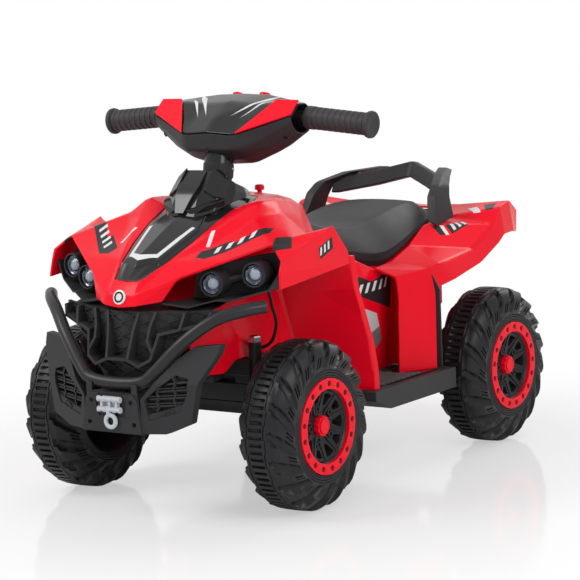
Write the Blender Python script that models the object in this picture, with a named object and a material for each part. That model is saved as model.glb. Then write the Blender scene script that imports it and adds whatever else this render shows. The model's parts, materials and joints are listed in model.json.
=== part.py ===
"""A child's electric ride-on quad, modelled as the separate pieces it is assembled from.

Metres, +Z up. The front points towards -Y and the rider's left is +X. The origin lies on the
floor under the middle of the quad. Every position is taken from one of the two axle centres,
so a change of wheel size, wheelbase or track carries the bodywork with it.
"""
import math

import bmesh
import bpy
from mathutils import Matrix
from mathutils import Vector

# Driving dimensions of the running gear
WHEEL_RADIUS = 0.100
TYRE_WIDTH = 0.067
WHEELBASE = 0.435
HALF_TRACK = 0.158
FRONT_AXLE_Y = -0.195
STUB_RADIUS = 0.005
KINGPIN_X = 0.093
KINGPIN_TOP = 0.101
STEER_ARM = 0.040
STEER_RAKE = math.radians(10.0)

# Clearances and walls
RUN_GAP = 0.0003
SEAT_GAP = 0.0004
PANEL_WALL = 0.003
TRIM_WALL = 0.002
BOSS_RADIUS = 0.004
BOSS_SIDES = 6

# Wheel details
LUG_COUNT = 18
TREAD_BAND = 0.020
BEAD_OUTER = 0.0563
BEAD_INNER = 0.0437
BEAD_THICKNESS = 0.0047
BEAD_HOLES = 17
BEAD_HOLE_RADIUS = 0.0029
SPOKE_WINDOWS = 10
HUB_CAP_RADIUS = 0.0125
HUB_CAP_DEPTH = 0.0062

# Steering head and handlebar
HEAD_RISE = 0.344
HEAD_BACK = 0.115
COLUMN_LEAD = 0.035
SEAM_DROP = 0.0018
BAR_RADIUS = 0.009
BAR_SIDES = 10
BAR_HALF_STRAIGHT = 0.092
BAR_DROOP = math.radians(5.0)
GRIP_INNER_X = 0.103
GRIP_OUTER_X = 0.1946
GRIP_RADIUS = 0.0130
GRIP_RIB = 0.0013
GRIP_RIBS = 5
COLUMN_RADIUS = 0.006
COLLAR_RADIUS = 0.0187
COLLAR_LENGTH = 0.034
BUTTON_RADIUS = 0.0070
BUTTON_TRAVEL = 0.002

# Lamps and front end
LAMP_RADIUS = 0.0150
LAMP_SIDES = 12
LAMP_DEPTH = 0.026
LAMP_TOE = math.radians(10.0)
LENS_RADIUS = 0.0108
BULL_BAR_RADIUS = 0.0075
GRILLE_WALL = 0.004

# Running boards and pedal
BOARD_OUTER_X = 0.172
BOARD_INNER_X = 0.0880
BOARD_TOP = 0.0150
BOARD_DEPTH = 0.0260
BOARD_RIBS = 6
PEDAL_WIDTH = 0.040
PEDAL_LENGTH = 0.058
PEDAL_TILT = math.radians(15.0)
PEDAL_EAR = 0.004
PEDAL_PIN = 0.0020

# Derived datums
AXLE_Z = WHEEL_RADIUS
REAR_AXLE_Y = FRONT_AXLE_Y + WHEELBASE
HALF_TYRE = TYRE_WIDTH / 2
SIDES = {"left": 1, "right": -1}


def front(x, y, z):
    """Point given from the middle of the front axle."""
    return Vector((x, FRONT_AXLE_Y + y, AXLE_Z + z))


def rear(x, y, z):
    """Point given from the middle of the rear axle."""
    return Vector((x, REAR_AXLE_Y + y, AXLE_Z + z))


def clear_scene():
    """Remove whatever the file opened with."""
    for obj in list(bpy.data.objects):
        bpy.data.objects.remove(obj)


def finish(name, colour, roughness, metallic=0.0):
    """Principled material of one finish, made once and then shared."""
    material = bpy.data.materials.get(name)
    if material is None:
        material = bpy.data.materials.new(name)
        material.use_nodes = True
        shader = material.node_tree.nodes["Principled BSDF"]
        shader.inputs["Base Color"].default_value = (*colour, 1.0)
        shader.inputs["Roughness"].default_value = roughness
        shader.inputs["Metallic"].default_value = metallic
    return material


def red_gloss():
    return finish("red_gloss_plastic", (0.80, 0.01, 0.02), 0.22)


def black_gloss():
    return finish("black_gloss_plastic", (0.015, 0.015, 0.017), 0.15)


def black_matte():
    return finish("black_matte_plastic", (0.03, 0.03, 0.032), 0.55)


def tyre_black():
    return finish("tyre_plastic", (0.035, 0.036, 0.04), 0.5)


def steel():
    return finish("zinc_steel", (0.55, 0.55, 0.56), 0.35, 1.0)


def black_steel():
    return finish("black_steel", (0.02, 0.02, 0.02), 0.4, 0.3)


def grey_plastic():
    return finish("light_grey_plastic", (0.62, 0.64, 0.66), 0.45)


def clear_lens():
    return finish("clear_lens", (0.85, 0.9, 0.95), 0.05)


def place(name, bm, material, origin=None, parent=None, smooth=None):
    """Turn a bmesh in world coordinates into the named object, with its origin where asked."""
    bmesh.ops.remove_doubles(bm, verts=bm.verts, dist=1e-6)
    bmesh.ops.recalc_face_normals(bm, faces=bm.faces)
    base = Vector(origin) if origin is not None else Vector((0, 0, 0))
    bmesh.ops.translate(bm, verts=bm.verts, vec=-base)
    mesh = bpy.data.meshes.new(name)
    bm.to_mesh(mesh)
    bm.free()
    mesh.materials.append(material)
    if smooth is not None:
        mesh.shade_smooth()
        mesh.set_sharp_from_angle(angle=math.radians(smooth))
    obj = bpy.data.objects.new(name, mesh)
    bpy.context.collection.objects.link(obj)
    obj.location = base
    if parent is not None:
        obj.parent = parent
        obj.location = base - parent.location
    return obj


def pivot(name, point, parent=None):
    """Empty on a joint's axis, which carries the pieces that move about it."""
    empty = bpy.data.objects.new(name, None)
    empty.empty_display_size = 0.02
    bpy.context.collection.objects.link(empty)
    empty.location = point
    if parent is not None:
        empty.parent = parent
        empty.location = Vector(point) - parent.matrix_world.translation
        bpy.context.view_layer.update()
    return empty


def skin(bm, rings, closed=True):
    """Join a row of rings of equally many points with quads."""
    made = [[bm.verts.new(point) for point in ring] for ring in rings]
    for low, high in zip(made, made[1:]):
        count = len(low)
        last = count if closed else count - 1
        for i in range(last):
            j = (i + 1) % count
            bm.faces.new((low[i], low[j], high[j], high[i]))
    return made


def loft(rings):
    """Closed solid through a row of closed rings, capped at both ends."""
    bm = bmesh.new()
    made = skin(bm, rings)
    bm.faces.new(made[0])
    bm.faces.new(list(reversed(made[-1])))
    return bm


def prism(outline, direction):
    """Extrude a closed outline of points along a vector."""
    return loft([outline, [Vector(p) + Vector(direction) for p in outline]])


def faceted(bm):
    """Split the faces of a solid whose outlines don't lie in one plane."""
    bmesh.ops.triangulate(bm, faces=bm.faces)
    return bm


def box(low, high, bevel=0.0):
    """Rectangular block between two corners, with rounded edges if asked."""
    x0, y0, z0 = low
    x1, y1, z1 = high
    ring = [Vector((x0, y0, z0)), Vector((x1, y0, z0)), Vector((x1, y1, z0)), Vector((x0, y1, z0))]
    bm = prism(ring, (0, 0, z1 - z0))
    bmesh.ops.recalc_face_normals(bm, faces=bm.faces)
    if bevel > 0:
        bmesh.ops.bevel(bm, geom=list(bm.edges), offset=bevel, segments=1, affect="EDGES")
    return bm


def frame_along(direction):
    """Rotation whose Z axis lies along the direction."""
    return Vector(direction).normalized().to_track_quat("Z", "Y").to_matrix()


def circle(centre, direction, radius, sides, phase=0.0):
    """Ring of points round a centre, square to the direction."""
    turn = frame_along(direction)
    step = 2 * math.pi / sides
    flat = [(radius * math.cos(phase + i * step), radius * math.sin(phase + i * step)) for i in range(sides)]
    return [Vector(centre) + turn @ Vector((a, b, 0)) for a, b in flat]


def rod(start, end, radius, sides=12, phase=0.0):
    """Round or hexagonal bar between two points."""
    along = Vector(end) - Vector(start)
    return loft([circle(start, along, radius, sides, phase), circle(end, along, radius, sides, phase)])


def turned(centre, direction, profile, sides):
    """Solid of revolution with a closed profile of (distance along, radius) that misses the axis."""
    axis = Vector(direction).normalized()
    rings = [circle(Vector(centre) + axis * along, axis, radius, sides) for along, radius in profile]
    bm = bmesh.new()
    skin(bm, rings + [rings[0]])
    bmesh.ops.remove_doubles(bm, verts=bm.verts, dist=1e-7)
    return bm


def turned_solid(centre, direction, profile, sides):
    """Solid of revolution capped at both ends."""
    axis = Vector(direction).normalized()
    return loft([circle(Vector(centre) + axis * along, axis, radius, sides) for along, radius in profile])


def baked(obj):
    """Apply an object's modifiers and keep the result as its mesh."""
    depsgraph = bpy.context.evaluated_depsgraph_get()
    mesh = bpy.data.meshes.new_from_object(obj.evaluated_get(depsgraph))
    obj.modifiers.clear()
    obj.data = mesh
    return obj


def combine(obj, tools, operation):
    """Union or difference of an object with solids given as bmeshes; the tools are used up."""
    for number, tool in enumerate(tools):
        helper = place(f"{obj.name}_tool_{number}", tool, obj.data.materials[0])
        modifier = obj.modifiers.new("combine", "BOOLEAN")
        modifier.operation = operation
        modifier.object = helper
        bpy.context.view_layer.update()
        baked(obj)
        bpy.data.objects.remove(helper)
    return obj


def mirror_points(points):
    """The same points on the other side of the quad."""
    return [Vector((-p[0], p[1], p[2])) for p in points]


def mirrored(bm):
    """Mirror a bmesh to the other side of the quad."""
    bmesh.ops.scale(bm, verts=bm.verts, vec=(-1, 1, 1))
    bmesh.ops.reverse_faces(bm, faces=bm.faces)
    return bm


def panel(name, points, faces, wall, material, both_sides=True, lift=(0, 0, 1)):
    """Moulded shell from named points and the faces between them.

    The faces give the outer skin of the left half; the mirror adds the right half and the wall
    grows inwards, away from the lift direction.
    """
    bm = bmesh.new()
    verts = {key: bm.verts.new(point) for key, point in points.items()}
    for face in faces:
        bm.faces.new([verts[key] for key in face.split()])
    bmesh.ops.recalc_face_normals(bm, faces=bm.faces)
    total = Vector((0, 0, 0))
    for face in bm.faces:
        total += face.normal * face.calc_area()
    if total.dot(Vector(lift)) < 0:
        bmesh.ops.reverse_faces(bm, faces=bm.faces)
    mesh = bpy.data.meshes.new(name)
    bm.to_mesh(mesh)
    bm.free()
    mesh.materials.append(material)
    obj = bpy.data.objects.new(name, mesh)
    bpy.context.collection.objects.link(obj)
    if both_sides:
        mirror = obj.modifiers.new("both_sides", "MIRROR")
        mirror.use_clip = True
        mirror.merge_threshold = 0.00005
    wall_modifier = obj.modifiers.new("wall", "SOLIDIFY")
    wall_modifier.thickness = wall
    wall_modifier.offset = -1
    wall_modifier.use_even_offset = True
    bpy.context.view_layer.update()
    return baked(obj)


def tube(name, points, radius, material, resolution=2, smooth_steps=5):
    """Round bar bent through the points along a smooth curve."""
    route = smooth_route(points, smooth_steps)
    curve = bpy.data.curves.new(name, "CURVE")
    curve.dimensions = "3D"
    spline = curve.splines.new("POLY")
    spline.points.add(len(route) - 1)
    for target, point in zip(spline.points, route):
        target.co = (*point, 1.0)
    curve.bevel_depth = radius
    curve.bevel_resolution = resolution
    curve.use_fill_caps = True
    curve.materials.append(material)
    obj = bpy.data.objects.new(name, curve)
    bpy.context.collection.objects.link(obj)
    return obj


def smooth_route(points, steps):
    """Catmull-Rom curve through the points, read at a few places in each span."""
    points = [Vector(p) for p in points]
    padded = [points[0] * 2 - points[1], *points, points[-1] * 2 - points[-2]]
    route = []
    for a, b, c, d in zip(padded, padded[1:], padded[2:], padded[3:]):
        for i in range(steps):
            t = i / steps
            route.append(
                0.5 * (2 * b + (c - a) * t + (2 * a - 5 * b + 4 * c - d) * t**2 + (3 * b - a - 3 * c + d) * t**3)
            )
    return route + [points[-1]]


def column_point(height):
    """Point on the raked steering axis at a height above the axle."""
    drop = HEAD_RISE - height
    return front(0, HEAD_BACK - COLUMN_LEAD - drop * math.tan(STEER_RAKE), height)


def column_axis():
    """Direction of the steering axis, up and back towards the rider."""
    return Vector((0, math.sin(STEER_RAKE), math.cos(STEER_RAKE)))


def surface_hit(obj, start, direction):
    """First point of an object's surface from a point along a direction, both in world coordinates."""
    bpy.context.view_layer.update()
    back = obj.matrix_world.inverted()
    found, point, _, _ = obj.ray_cast(back @ Vector(start), back.to_3x3() @ Vector(direction))
    return obj.matrix_world @ point if found else Vector(start)


def seat_boss(carrier, cover, x, y):
    """Screw boss that stands on one shell and reaches up to the underside of the cover on it."""
    foot = surface_hit(carrier, (x, y, 1.0), (0, 0, -1)).z - PANEL_WALL / 2
    rim = circle((x, y, 0), (0, 0, 1), BOSS_RADIUS, BOSS_SIDES)
    top = min(surface_hit(cover, (point.x, point.y, foot), (0, 0, 1)).z for point in rim) - RUN_GAP
    return rod((x, y, foot), (x, y, top), BOSS_RADIUS, BOSS_SIDES)


# Wheels


def tyre_rows():
    """Across the tyre from outer bead to inner bead: offset, radius and the lug's offset and radius."""
    half = HALF_TYRE
    top = WHEEL_RADIUS
    band = TREAD_BAND / 2
    lip = BEAD_OUTER + 0.0037
    return [
        (half, lip, half, lip),
        (half - 0.0030, top * 0.770, half, top * 0.775),
        (half - 0.0080, top * 0.870, half - 0.0020, top * 0.915),
        (half - 0.0165, top * 0.930, half - 0.0085, top * 0.965),
        (band + 0.0010, top * 0.955, band + 0.0015, top * 0.985),
        (band, top, band, top),
        (-band, top, -band, top),
        (-half + 0.0070, top * 0.880, -half + 0.0010, top * 0.915),
        (-half, lip, -half, lip),
    ]


def polar(side, centre, offset, radius, angle):
    """Point of a wheel from its centre, with offset counted outwards."""
    x = centre.x + side * offset
    return Vector((x, centre.y + radius * math.cos(angle), centre.z + radius * math.sin(angle)))


def tyre_surface(bm, side, centre):
    """Tread and sidewalls: each lug is a raised, swept block with one steep wall."""
    pitch = 2 * math.pi / LUG_COUNT
    columns = ((0.00, False), (0.12, True), (0.52, True))
    rings = []
    for offset, radius, lug_offset, lug_radius in tyre_rows():
        sweep = pitch * 0.9 * max(0.0, abs(offset) - TREAD_BAND / 2) / HALF_TYRE
        ring = []
        for lug in range(LUG_COUNT):
            for share, raised in columns:
                angle = (lug + share) * pitch + sweep
                place_offset = lug_offset if raised else offset
                place_radius = lug_radius if raised else radius
                ring.append(polar(side, centre, place_offset, place_radius, angle))
        rings.append(ring)
    return skin(bm, rings)


def hub_rings(side, centre):
    """Rings of the bead seat, spoked disc, boss, bore and open back of the wheel."""
    half = HALF_TYRE
    seat_face = half + 0.0015 - BEAD_THICKNESS - SEAT_GAP
    bore = STUB_RADIUS + RUN_GAP
    profile = [
        (half, BEAD_OUTER + 0.0012),
        (seat_face, BEAD_OUTER + 0.0012),
        (seat_face, BEAD_INNER - 0.0010),
        (half - 0.0165, BEAD_INNER - 0.0030),
        (half - 0.0165, 0.0165),
        (half - 0.0120, 0.0145),
        (half - 0.0120, bore),
        (-half + 0.0035, bore),
        (-half + 0.0035, 0.0130),
        (half - 0.0215, 0.0160),
        (half - 0.0215, BEAD_INNER - 0.0030),
        (-half, BEAD_OUTER - 0.0010),
    ]
    step = 2 * math.pi / LUG_COUNT
    return [[polar(side, centre, o, r, i * step) for i in range(LUG_COUNT)] for o, r in profile]


def stitch(bm, coarse, fine):
    """Fill the flat ring between a coarse circle and one with a whole number of times as many points."""
    ratio = len(fine) // len(coarse)
    for i, vert in enumerate(coarse):
        after = coarse[(i + 1) % len(coarse)]
        half = ratio // 2
        for k in range(ratio):
            a = fine[(i * ratio + k) % len(fine)]
            b = fine[(i * ratio + k + 1) % len(fine)]
            bm.faces.new((vert if k <= half else after, a, b))
            if k == half:
                bm.faces.new((vert, b, after))


def spoke_windows(side, centre):
    """Tapered openings between the spokes, as cutters."""
    half = HALF_TYRE
    pitch = 2 * math.pi / SPOKE_WINDOWS
    inner = 0.0195
    outer = BEAD_INNER - 0.0055
    cutters = []
    for i in range(SPOKE_WINDOWS):
        middle = i * pitch
        narrow = pitch * 0.17
        wide = pitch * (0.31 if i % 2 else 0.24)
        corners = ((inner, -narrow), (outer, -wide), (outer, wide), (inner, narrow))
        ring = [polar(side, centre, half - 0.010, r, middle + a) for r, a in corners]
        cutters.append(prism(ring, (-side * 0.016, 0, 0)))
    return cutters


def wheel(end, side_name, parent):
    """Moulded wheel with tread lugs, bead-lock ring and hub cap."""
    side = SIDES[side_name]
    make = front if end == "front" else rear
    centre = make(side * HALF_TRACK, 0, 0)
    bm = bmesh.new()
    tread = tyre_surface(bm, side, centre)
    hub = skin(bm, hub_rings(side, centre))
    stitch(bm, hub[0], tread[0])
    stitch(bm, hub[-1], tread[-1])
    tyre = place(f"wheel_{end}_{side_name}", bm, tyre_black(), centre, parent, smooth=30)
    cut = bmesh.new()
    for cutter in spoke_windows(side, centre):
        add_bmesh(cut, cutter)
    combine(tyre, [cut], "DIFFERENCE")
    bead_ring(f"bead_ring_{end}_{side_name}", side, centre, parent)
    hub_cap(f"hub_cap_{end}_{side_name}", side, centre, parent)


def add_bmesh(target, source):
    """Copy one bmesh into another and free it."""
    mesh = bpy.data.meshes.new("joined")
    source.to_mesh(mesh)
    source.free()
    target.from_mesh(mesh)
    bpy.data.meshes.remove(mesh)


def bead_ring(name, side, centre, parent):
    """Flat ring bolted over the bead, with its row of round holes."""
    outer_face = HALF_TYRE + 0.0015
    middle = (BEAD_OUTER + BEAD_INNER) / 2
    pitch = 2 * math.pi / BEAD_HOLES
    bm = bmesh.new()
    faces = {}
    for offset in (outer_face, outer_face - BEAD_THICKNESS):
        rows = []
        for i in range(BEAD_HOLES):
            a = i * pitch
            rim = [bm.verts.new(polar(side, centre, offset, BEAD_OUTER, a + s * pitch / 2)) for s in (-1, 0)]
            bore = [bm.verts.new(polar(side, centre, offset, BEAD_INNER, a + s * pitch / 2)) for s in (-1, 0)]
            hole = []
            for k in range(4):
                turn = math.pi / 2 * k
                radius = middle + BEAD_HOLE_RADIUS * math.cos(turn)
                across = BEAD_HOLE_RADIUS * math.sin(turn) / middle
                hole.append(bm.verts.new(polar(side, centre, offset, radius, a + across)))
            rows.append((rim, bore, hole))
        faces[offset] = rows
        for i, (rim, bore, hole) in enumerate(rows):
            rim_next, bore_next, _ = rows[(i + 1) % BEAD_HOLES]
            bm.faces.new((rim[0], rim[1], hole[0], hole[3], hole[2], bore[1], bore[0]))
            bm.faces.new((rim[1], rim_next[0], bore_next[0], bore[1], hole[2], hole[1], hole[0]))
    top, bottom = faces.values()
    for i in range(BEAD_HOLES):
        j = (i + 1) % BEAD_HOLES
        for part in (0, 1):
            a, b, c = top[i][part][0], top[i][part][1], top[j][part][0]
            d, e, f = bottom[i][part][0], bottom[i][part][1], bottom[j][part][0]
            bm.faces.new((a, b, e, d))
            bm.faces.new((b, c, f, e))
        for k in range(4):
            m = (k + 1) % 4
            bm.faces.new((top[i][2][k], top[i][2][m], bottom[i][2][m], bottom[i][2][k]))
    place(name, bm, red_gloss(), centre, parent, smooth=30)


def hub_cap(name, side, centre, parent):
    """Lobed cap pressed over the end of the axle."""
    seat = HALF_TYRE - 0.0120 + SEAT_GAP
    count = 20
    rows = []
    for depth, scale in ((0.0, 1.0), (HUB_CAP_DEPTH * 0.72, 1.0), (HUB_CAP_DEPTH, 0.82)):
        ring = []
        for i in range(count):
            lobe = 1.0 if i % 2 else 0.90
            radius = HUB_CAP_RADIUS * lobe * scale
            ring.append(polar(side, centre, seat + depth, radius, 2 * math.pi * i / count))
        rows.append(ring)
    place(name, loft(rows), red_gloss(), centre, parent, smooth=30)


# Front axle and steering linkage

BEAM_LOW = (0.023, 0.044)
BEAM_HIGH = (0.0540, 0.0720)
BEAM_HALF_DEPTH = 0.011
SLEEVE_RADIUS = 0.0078
SLEEVE = (0.0185, 0.0930)
KNUCKLE_SHOULDER = 0.0080
LINK_HEIGHT = (0.0060, 0.0115)
LINK_PIN = 0.0030
CRANK_FOOT = 0.0235


def front_axle():
    """Two-bar steel axle with a sleeve for the kingpin at each end."""
    half = KINGPIN_X - 0.002
    depth = BEAM_HALF_DEPTH
    low, high = BEAM_LOW, BEAM_HIGH
    base = place("front_axle", box(front(-half, -depth, low[0]), front(half, depth, low[1])), black_steel())
    tools = [box(front(-half, -depth, high[0]), front(half, depth, high[1]))]
    for side in (1, -1):
        x0, x1 = sorted((side * (half - 0.022), side * (half - 0.0005)))
        inset = depth - 0.001
        tools.append(box(front(x0, -inset, low[0] + 0.001), front(x1, inset, high[1] - 0.001)))
        x = side * KINGPIN_X
        tools.append(rod(front(x, 0, SLEEVE[0]), front(x, 0, SLEEVE[1]), SLEEVE_RADIUS))
    combine(base, tools, "UNION")
    bores = []
    for side in (1, -1):
        x = side * KINGPIN_X
        bores.append(rod(front(x, 0, 0), front(x, 0, KINGPIN_TOP + 0.01), STUB_RADIUS + RUN_GAP))
    return combine(base, bores, "DIFFERENCE")


def knuckle(side_name, parent):
    """Stub axle, kingpin and steering arm of one front wheel."""
    side = SIDES[side_name]
    x = side * KINGPIN_X
    reach = side * (HALF_TRACK + HALF_TYRE - 0.0130)
    shoulder = side * (HALF_TRACK - HALF_TYRE + 0.0035 - RUN_GAP)
    low, high = LINK_HEIGHT
    body = box(front(x - 0.008, -0.008, -0.008), front(x + 0.008, 0.008, SLEEVE[0] - RUN_GAP))
    obj = place(f"knuckle_{side_name}", body, black_steel(), front(x, 0, 0), parent)
    arm_top = SLEEVE[0] - RUN_GAP - 0.0005
    arm = box(front(x - 0.0055, 0.004, high + RUN_GAP), front(x + 0.0055, STEER_ARM + 0.0055, arm_top))
    tools = [
        rod(front(x, 0, 0), front(x, 0, KINGPIN_TOP), STUB_RADIUS),
        rod(front(x, 0, 0), front(shoulder, 0, 0), KNUCKLE_SHOULDER),
        rod(front(x, 0, 0), front(reach, 0, 0), STUB_RADIUS),
        arm,
        rod(front(x, STEER_ARM, low - 0.0015), front(x, STEER_ARM, high + 0.002), LINK_PIN, 12),
    ]
    return combine_in_place(obj, tools, "UNION")


def combine_in_place(obj, tools, operation):
    """Boolean for a parented object: the tools are in world coordinates."""
    bpy.context.view_layer.update()
    return combine(obj, tools, operation)


def kingpin_nut(side_name, parent):
    """Hexagonal nut that keeps the kingpin in its sleeve."""
    x = SIDES[side_name] * KINGPIN_X
    low = SLEEVE[1] + RUN_GAP
    bore = (STUB_RADIUS + RUN_GAP) / math.cos(math.pi / 6)
    nut = turned(
        front(x, 0, low),
        (0, 0, 1),
        [(0, bore), (0, 0.0080), (0.0060, 0.0080), (0.0072, 0.0072), (0.0072, bore)],
        6,
    )
    place(f"kingpin_nut_{side_name}", nut, steel(), front(x, 0, 0), parent)


def eye_outline(centre, radius, sides, start, sweep, height):
    """Arc of points round an eye, for a plate's outline."""
    points = []
    for i in range(sides + 1):
        angle = start + sweep * i / sides
        points.append(Vector((centre[0] + radius * math.cos(angle), centre[1] + radius * math.sin(angle), height)))
    return points


def tie_rod(parent):
    """Flat link between the steering arms, with a middle eye for the column's crank."""
    low, high = LINK_HEIGHT
    y = FRONT_AXLE_Y + STEER_ARM
    z = AXLE_Z + low
    crank = crank_end()
    quarter = math.pi / 2
    outline = []
    outline += eye_outline((KINGPIN_X, y), 0.0065, 6, -quarter, math.pi, z)
    outline += [Vector((0.014, y + 0.0065, z))]
    outline += eye_outline((0, crank.y), 0.0085, 6, 0, math.pi, z)
    outline += [Vector((-0.014, y + 0.0065, z))]
    outline += eye_outline((-KINGPIN_X, y), 0.0065, 6, quarter, math.pi, z)
    obj = place("tie_rod", prism(outline, (0, 0, high - low)), black_steel(), front(KINGPIN_X, STEER_ARM, 0), parent)
    cuts = []
    for x in (KINGPIN_X, -KINGPIN_X):
        slack = RUN_GAP if x > 0 else 0.0012
        cuts.append(rod((x, y, z - 0.01), (x, y, z + 0.02), LINK_PIN + slack, 12))
    cuts.append(rod((0, crank.y, z - 0.01), (0, crank.y, z + 0.02), LINK_PIN + 0.0022, 12))
    return combine_in_place(obj, cuts, "DIFFERENCE")


def crank_end():
    """Where the column's crank pin crosses the link."""
    return column_point(CRANK_FOOT) + STEER_ARM * Vector((0, math.cos(STEER_RAKE), -math.sin(STEER_RAKE)))


def steering_column(parent):
    """Steel column with the crank at its foot and the bracket that carries the handlebar."""
    foot = column_point(CRANK_FOOT)
    head = column_point(HEAD_RISE - 0.022)
    axis = column_axis()
    obj = place("steering_column", rod(foot - axis * 0.003, head, COLUMN_RADIUS), black_steel(), column_point(0), parent)
    back = Vector((0, math.cos(STEER_RAKE), -math.sin(STEER_RAKE)))
    end = crank_end()
    half = Vector((0.006, 0, 0))
    web = 0.0026 * axis
    ring = [foot - half - back * 0.006, foot + half - back * 0.006, end + half * 0.8 + back * 0.006]
    ring.append(end - half * 0.8 + back * 0.006)
    crank = prism([p - web for p in ring], web * 2)
    pin_low = Vector((0, end.y, AXLE_Z + LINK_HEIGHT[0] - 0.0015))
    pin = rod(pin_low, end, LINK_PIN, 12)
    return combine_in_place(obj, [crank, pin, bar_bracket(head)], "UNION")


def bar_bracket(head):
    """Plate from the top of the column back to the handlebar tube."""
    bar = bar_centre()
    top = Vector((0, bar.y - BAR_RADIUS - RUN_GAP, bar.z + 0.004))
    low = Vector((0, bar.y - BAR_RADIUS - RUN_GAP, bar.z - 0.010))
    outline = [head + Vector((0, -0.004, -0.012)), low, top, head + Vector((0, -0.004, 0.0))]
    return prism([p - Vector((0.012, 0, 0)) for p in outline], (0.024, 0, 0))


def bar_centre():
    """Middle of the handlebar tube."""
    return front(0, HEAD_BACK, HEAD_RISE + 0.003)


# Steering head

TRIM_SINK = 0.0007
HEAD_STATIONS = (0.0, 0.036, 0.070, 0.101)


def head_lower_sections():
    """Underside of the steering head: at each station, points from front edge down and round to the rear."""
    return [
        [(-0.0665, -0.0100), (-0.0650, -0.0310), (-0.042, -0.0440), (-0.018, -0.0520), (0.020, -0.0440), (0.050, -0.0220), (0.052, -0.0040)],
        [(-0.0645, -0.0130), (-0.0640, -0.0310), (-0.042, -0.0430), (-0.018, -0.0500), (0.018, -0.0430), (0.046, -0.0210), (0.048, -0.0040)],
        [(-0.0480, -0.0020), (-0.0440, -0.0150), (-0.034, -0.0290), (-0.012, -0.0350), (0.010, -0.0300), (0.028, -0.0150), (0.030, 0.0010)],
        [(-0.0345, 0.0080), (-0.0330, 0.0010), (-0.026, -0.0090), (-0.010, -0.0150), (0.003, -0.0120), (0.010, -0.0030), (0.012, 0.0060)],
    ]


def head_upper_sections():
    """Top of the steering head, from front edge up over the dome to the rear edge."""
    return [
        [(-0.0665, -0.0095), (-0.048, 0.0060), (-0.018, 0.0230), (0.0185, 0.0300), (0.040, 0.0220), (0.052, -0.0035)],
        [(-0.0625, -0.0125), (-0.048, -0.0020), (-0.018, 0.0200), (0.0175, 0.0290), (0.036, 0.0220), (0.048, -0.0035)],
        [(-0.0455, -0.0015), (-0.036, 0.0060), (-0.0185, 0.0225), (0.006, 0.0250), (0.020, 0.0170), (0.030, 0.0015)],
        [(-0.0325, 0.0080), (-0.026, 0.0125), (-0.0165, 0.0210), (-0.002, 0.0205), (0.007, 0.0140), (0.012, 0.0065)],
    ]


def head_shell(name, sections, wall, material, lift, parent, lifted=0.0):
    """One half of the head's housing, lofted from its sections and open towards the other half."""
    points = {}
    faces = []
    for i, (x, section) in enumerate(zip(HEAD_STATIONS, sections)):
        for j, (y, z) in enumerate(section):
            points[f"p{i}_{j}"] = front(x, HEAD_BACK + y, HEAD_RISE + z + lifted)
    for i in range(len(sections) - 1):
        for j in range(len(sections[0]) - 1):
            faces.append(f"p{i}_{j} p{i + 1}_{j} p{i + 1}_{j + 1} p{i}_{j + 1}")
    obj = panel(name, points, faces, wall, material, lift=lift)
    adopt(obj, parent)
    return obj


def adopt(obj, parent):
    """Parent an object that was built in world coordinates."""
    obj.parent = parent
    obj.location = obj.location - parent.location
    return obj


def head_covers(parent):
    """Lower cover, upper cover and the two coloured side trims."""
    lower = head_shell(
        "head_lower_cover", head_lower_sections(), TRIM_WALL + 0.0005, black_matte(), (0, 0, -1), parent, -SEAM_DROP
    )
    socket = rod(column_point(0.2), column_point(HEAD_RISE), COLUMN_RADIUS + SEAT_GAP, 16)
    combine_in_place(lower, [socket], "DIFFERENCE")
    upper = head_shell("head_upper_cover", head_upper_sections(), TRIM_WALL, black_gloss(), (0, 0, 1), parent)
    cuts = [button_cutter(side) for side in (1, -1)]
    combine_in_place(upper, cuts, "DIFFERENCE")
    for side_name in SIDES:
        head_trim(side_name, parent)
    for side_name, name in (("left", "horn_button"), ("right", "music_button")):
        head_button(name, SIDES[side_name], parent)


def head_trim(side_name, parent):
    """Coloured panel over the outer front of the head."""
    side = SIDES[side_name]
    corners = {
        "tip": (0.039, -0.0650, -0.0105),
        "low": (0.1012, -0.0345, 0.0105),
        "high": (0.1005, -0.0165, 0.0260),
        "inner": (0.070, -0.0185, 0.0265),
    }
    lift = Vector((0, -0.6, 1))
    sink = lift.normalized() * TRIM_SINK
    points = {}
    for key, (x, y, z) in corners.items():
        points[key] = front(side * x, HEAD_BACK + y, HEAD_RISE + z) - sink
    obj = panel(f"head_trim_{side_name}", points, ["tip low high", "tip high inner"], TRIM_WALL, red_gloss(), False, lift)
    adopt(obj, parent)
    bpy.context.view_layer.update()
    return obj


def button_place(side):
    """Centre and direction of a button on the slope that faces the rider."""
    return front(side * 0.020, HEAD_BACK + 0.030, HEAD_RISE + 0.0255), Vector((0, 0.35, 0.937)).normalized()


def button_cutter(side):
    centre, out = button_place(side)
    return rod(centre - out * 0.012, centre + out * 0.010, BUTTON_RADIUS + RUN_GAP, 16)


def head_button(name, side, parent):
    """Round push button that stands proud of the dome by its travel and a little more."""
    centre, out = button_place(side)
    low = -0.0075
    profile = [(low, BUTTON_RADIUS), (BUTTON_TRAVEL + 0.0008, BUTTON_RADIUS), (BUTTON_TRAVEL + 0.0020, BUTTON_RADIUS * 0.8)]
    place(name, turned_solid(centre, out, profile, 16), red_gloss(), centre, parent, smooth=30)


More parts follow.
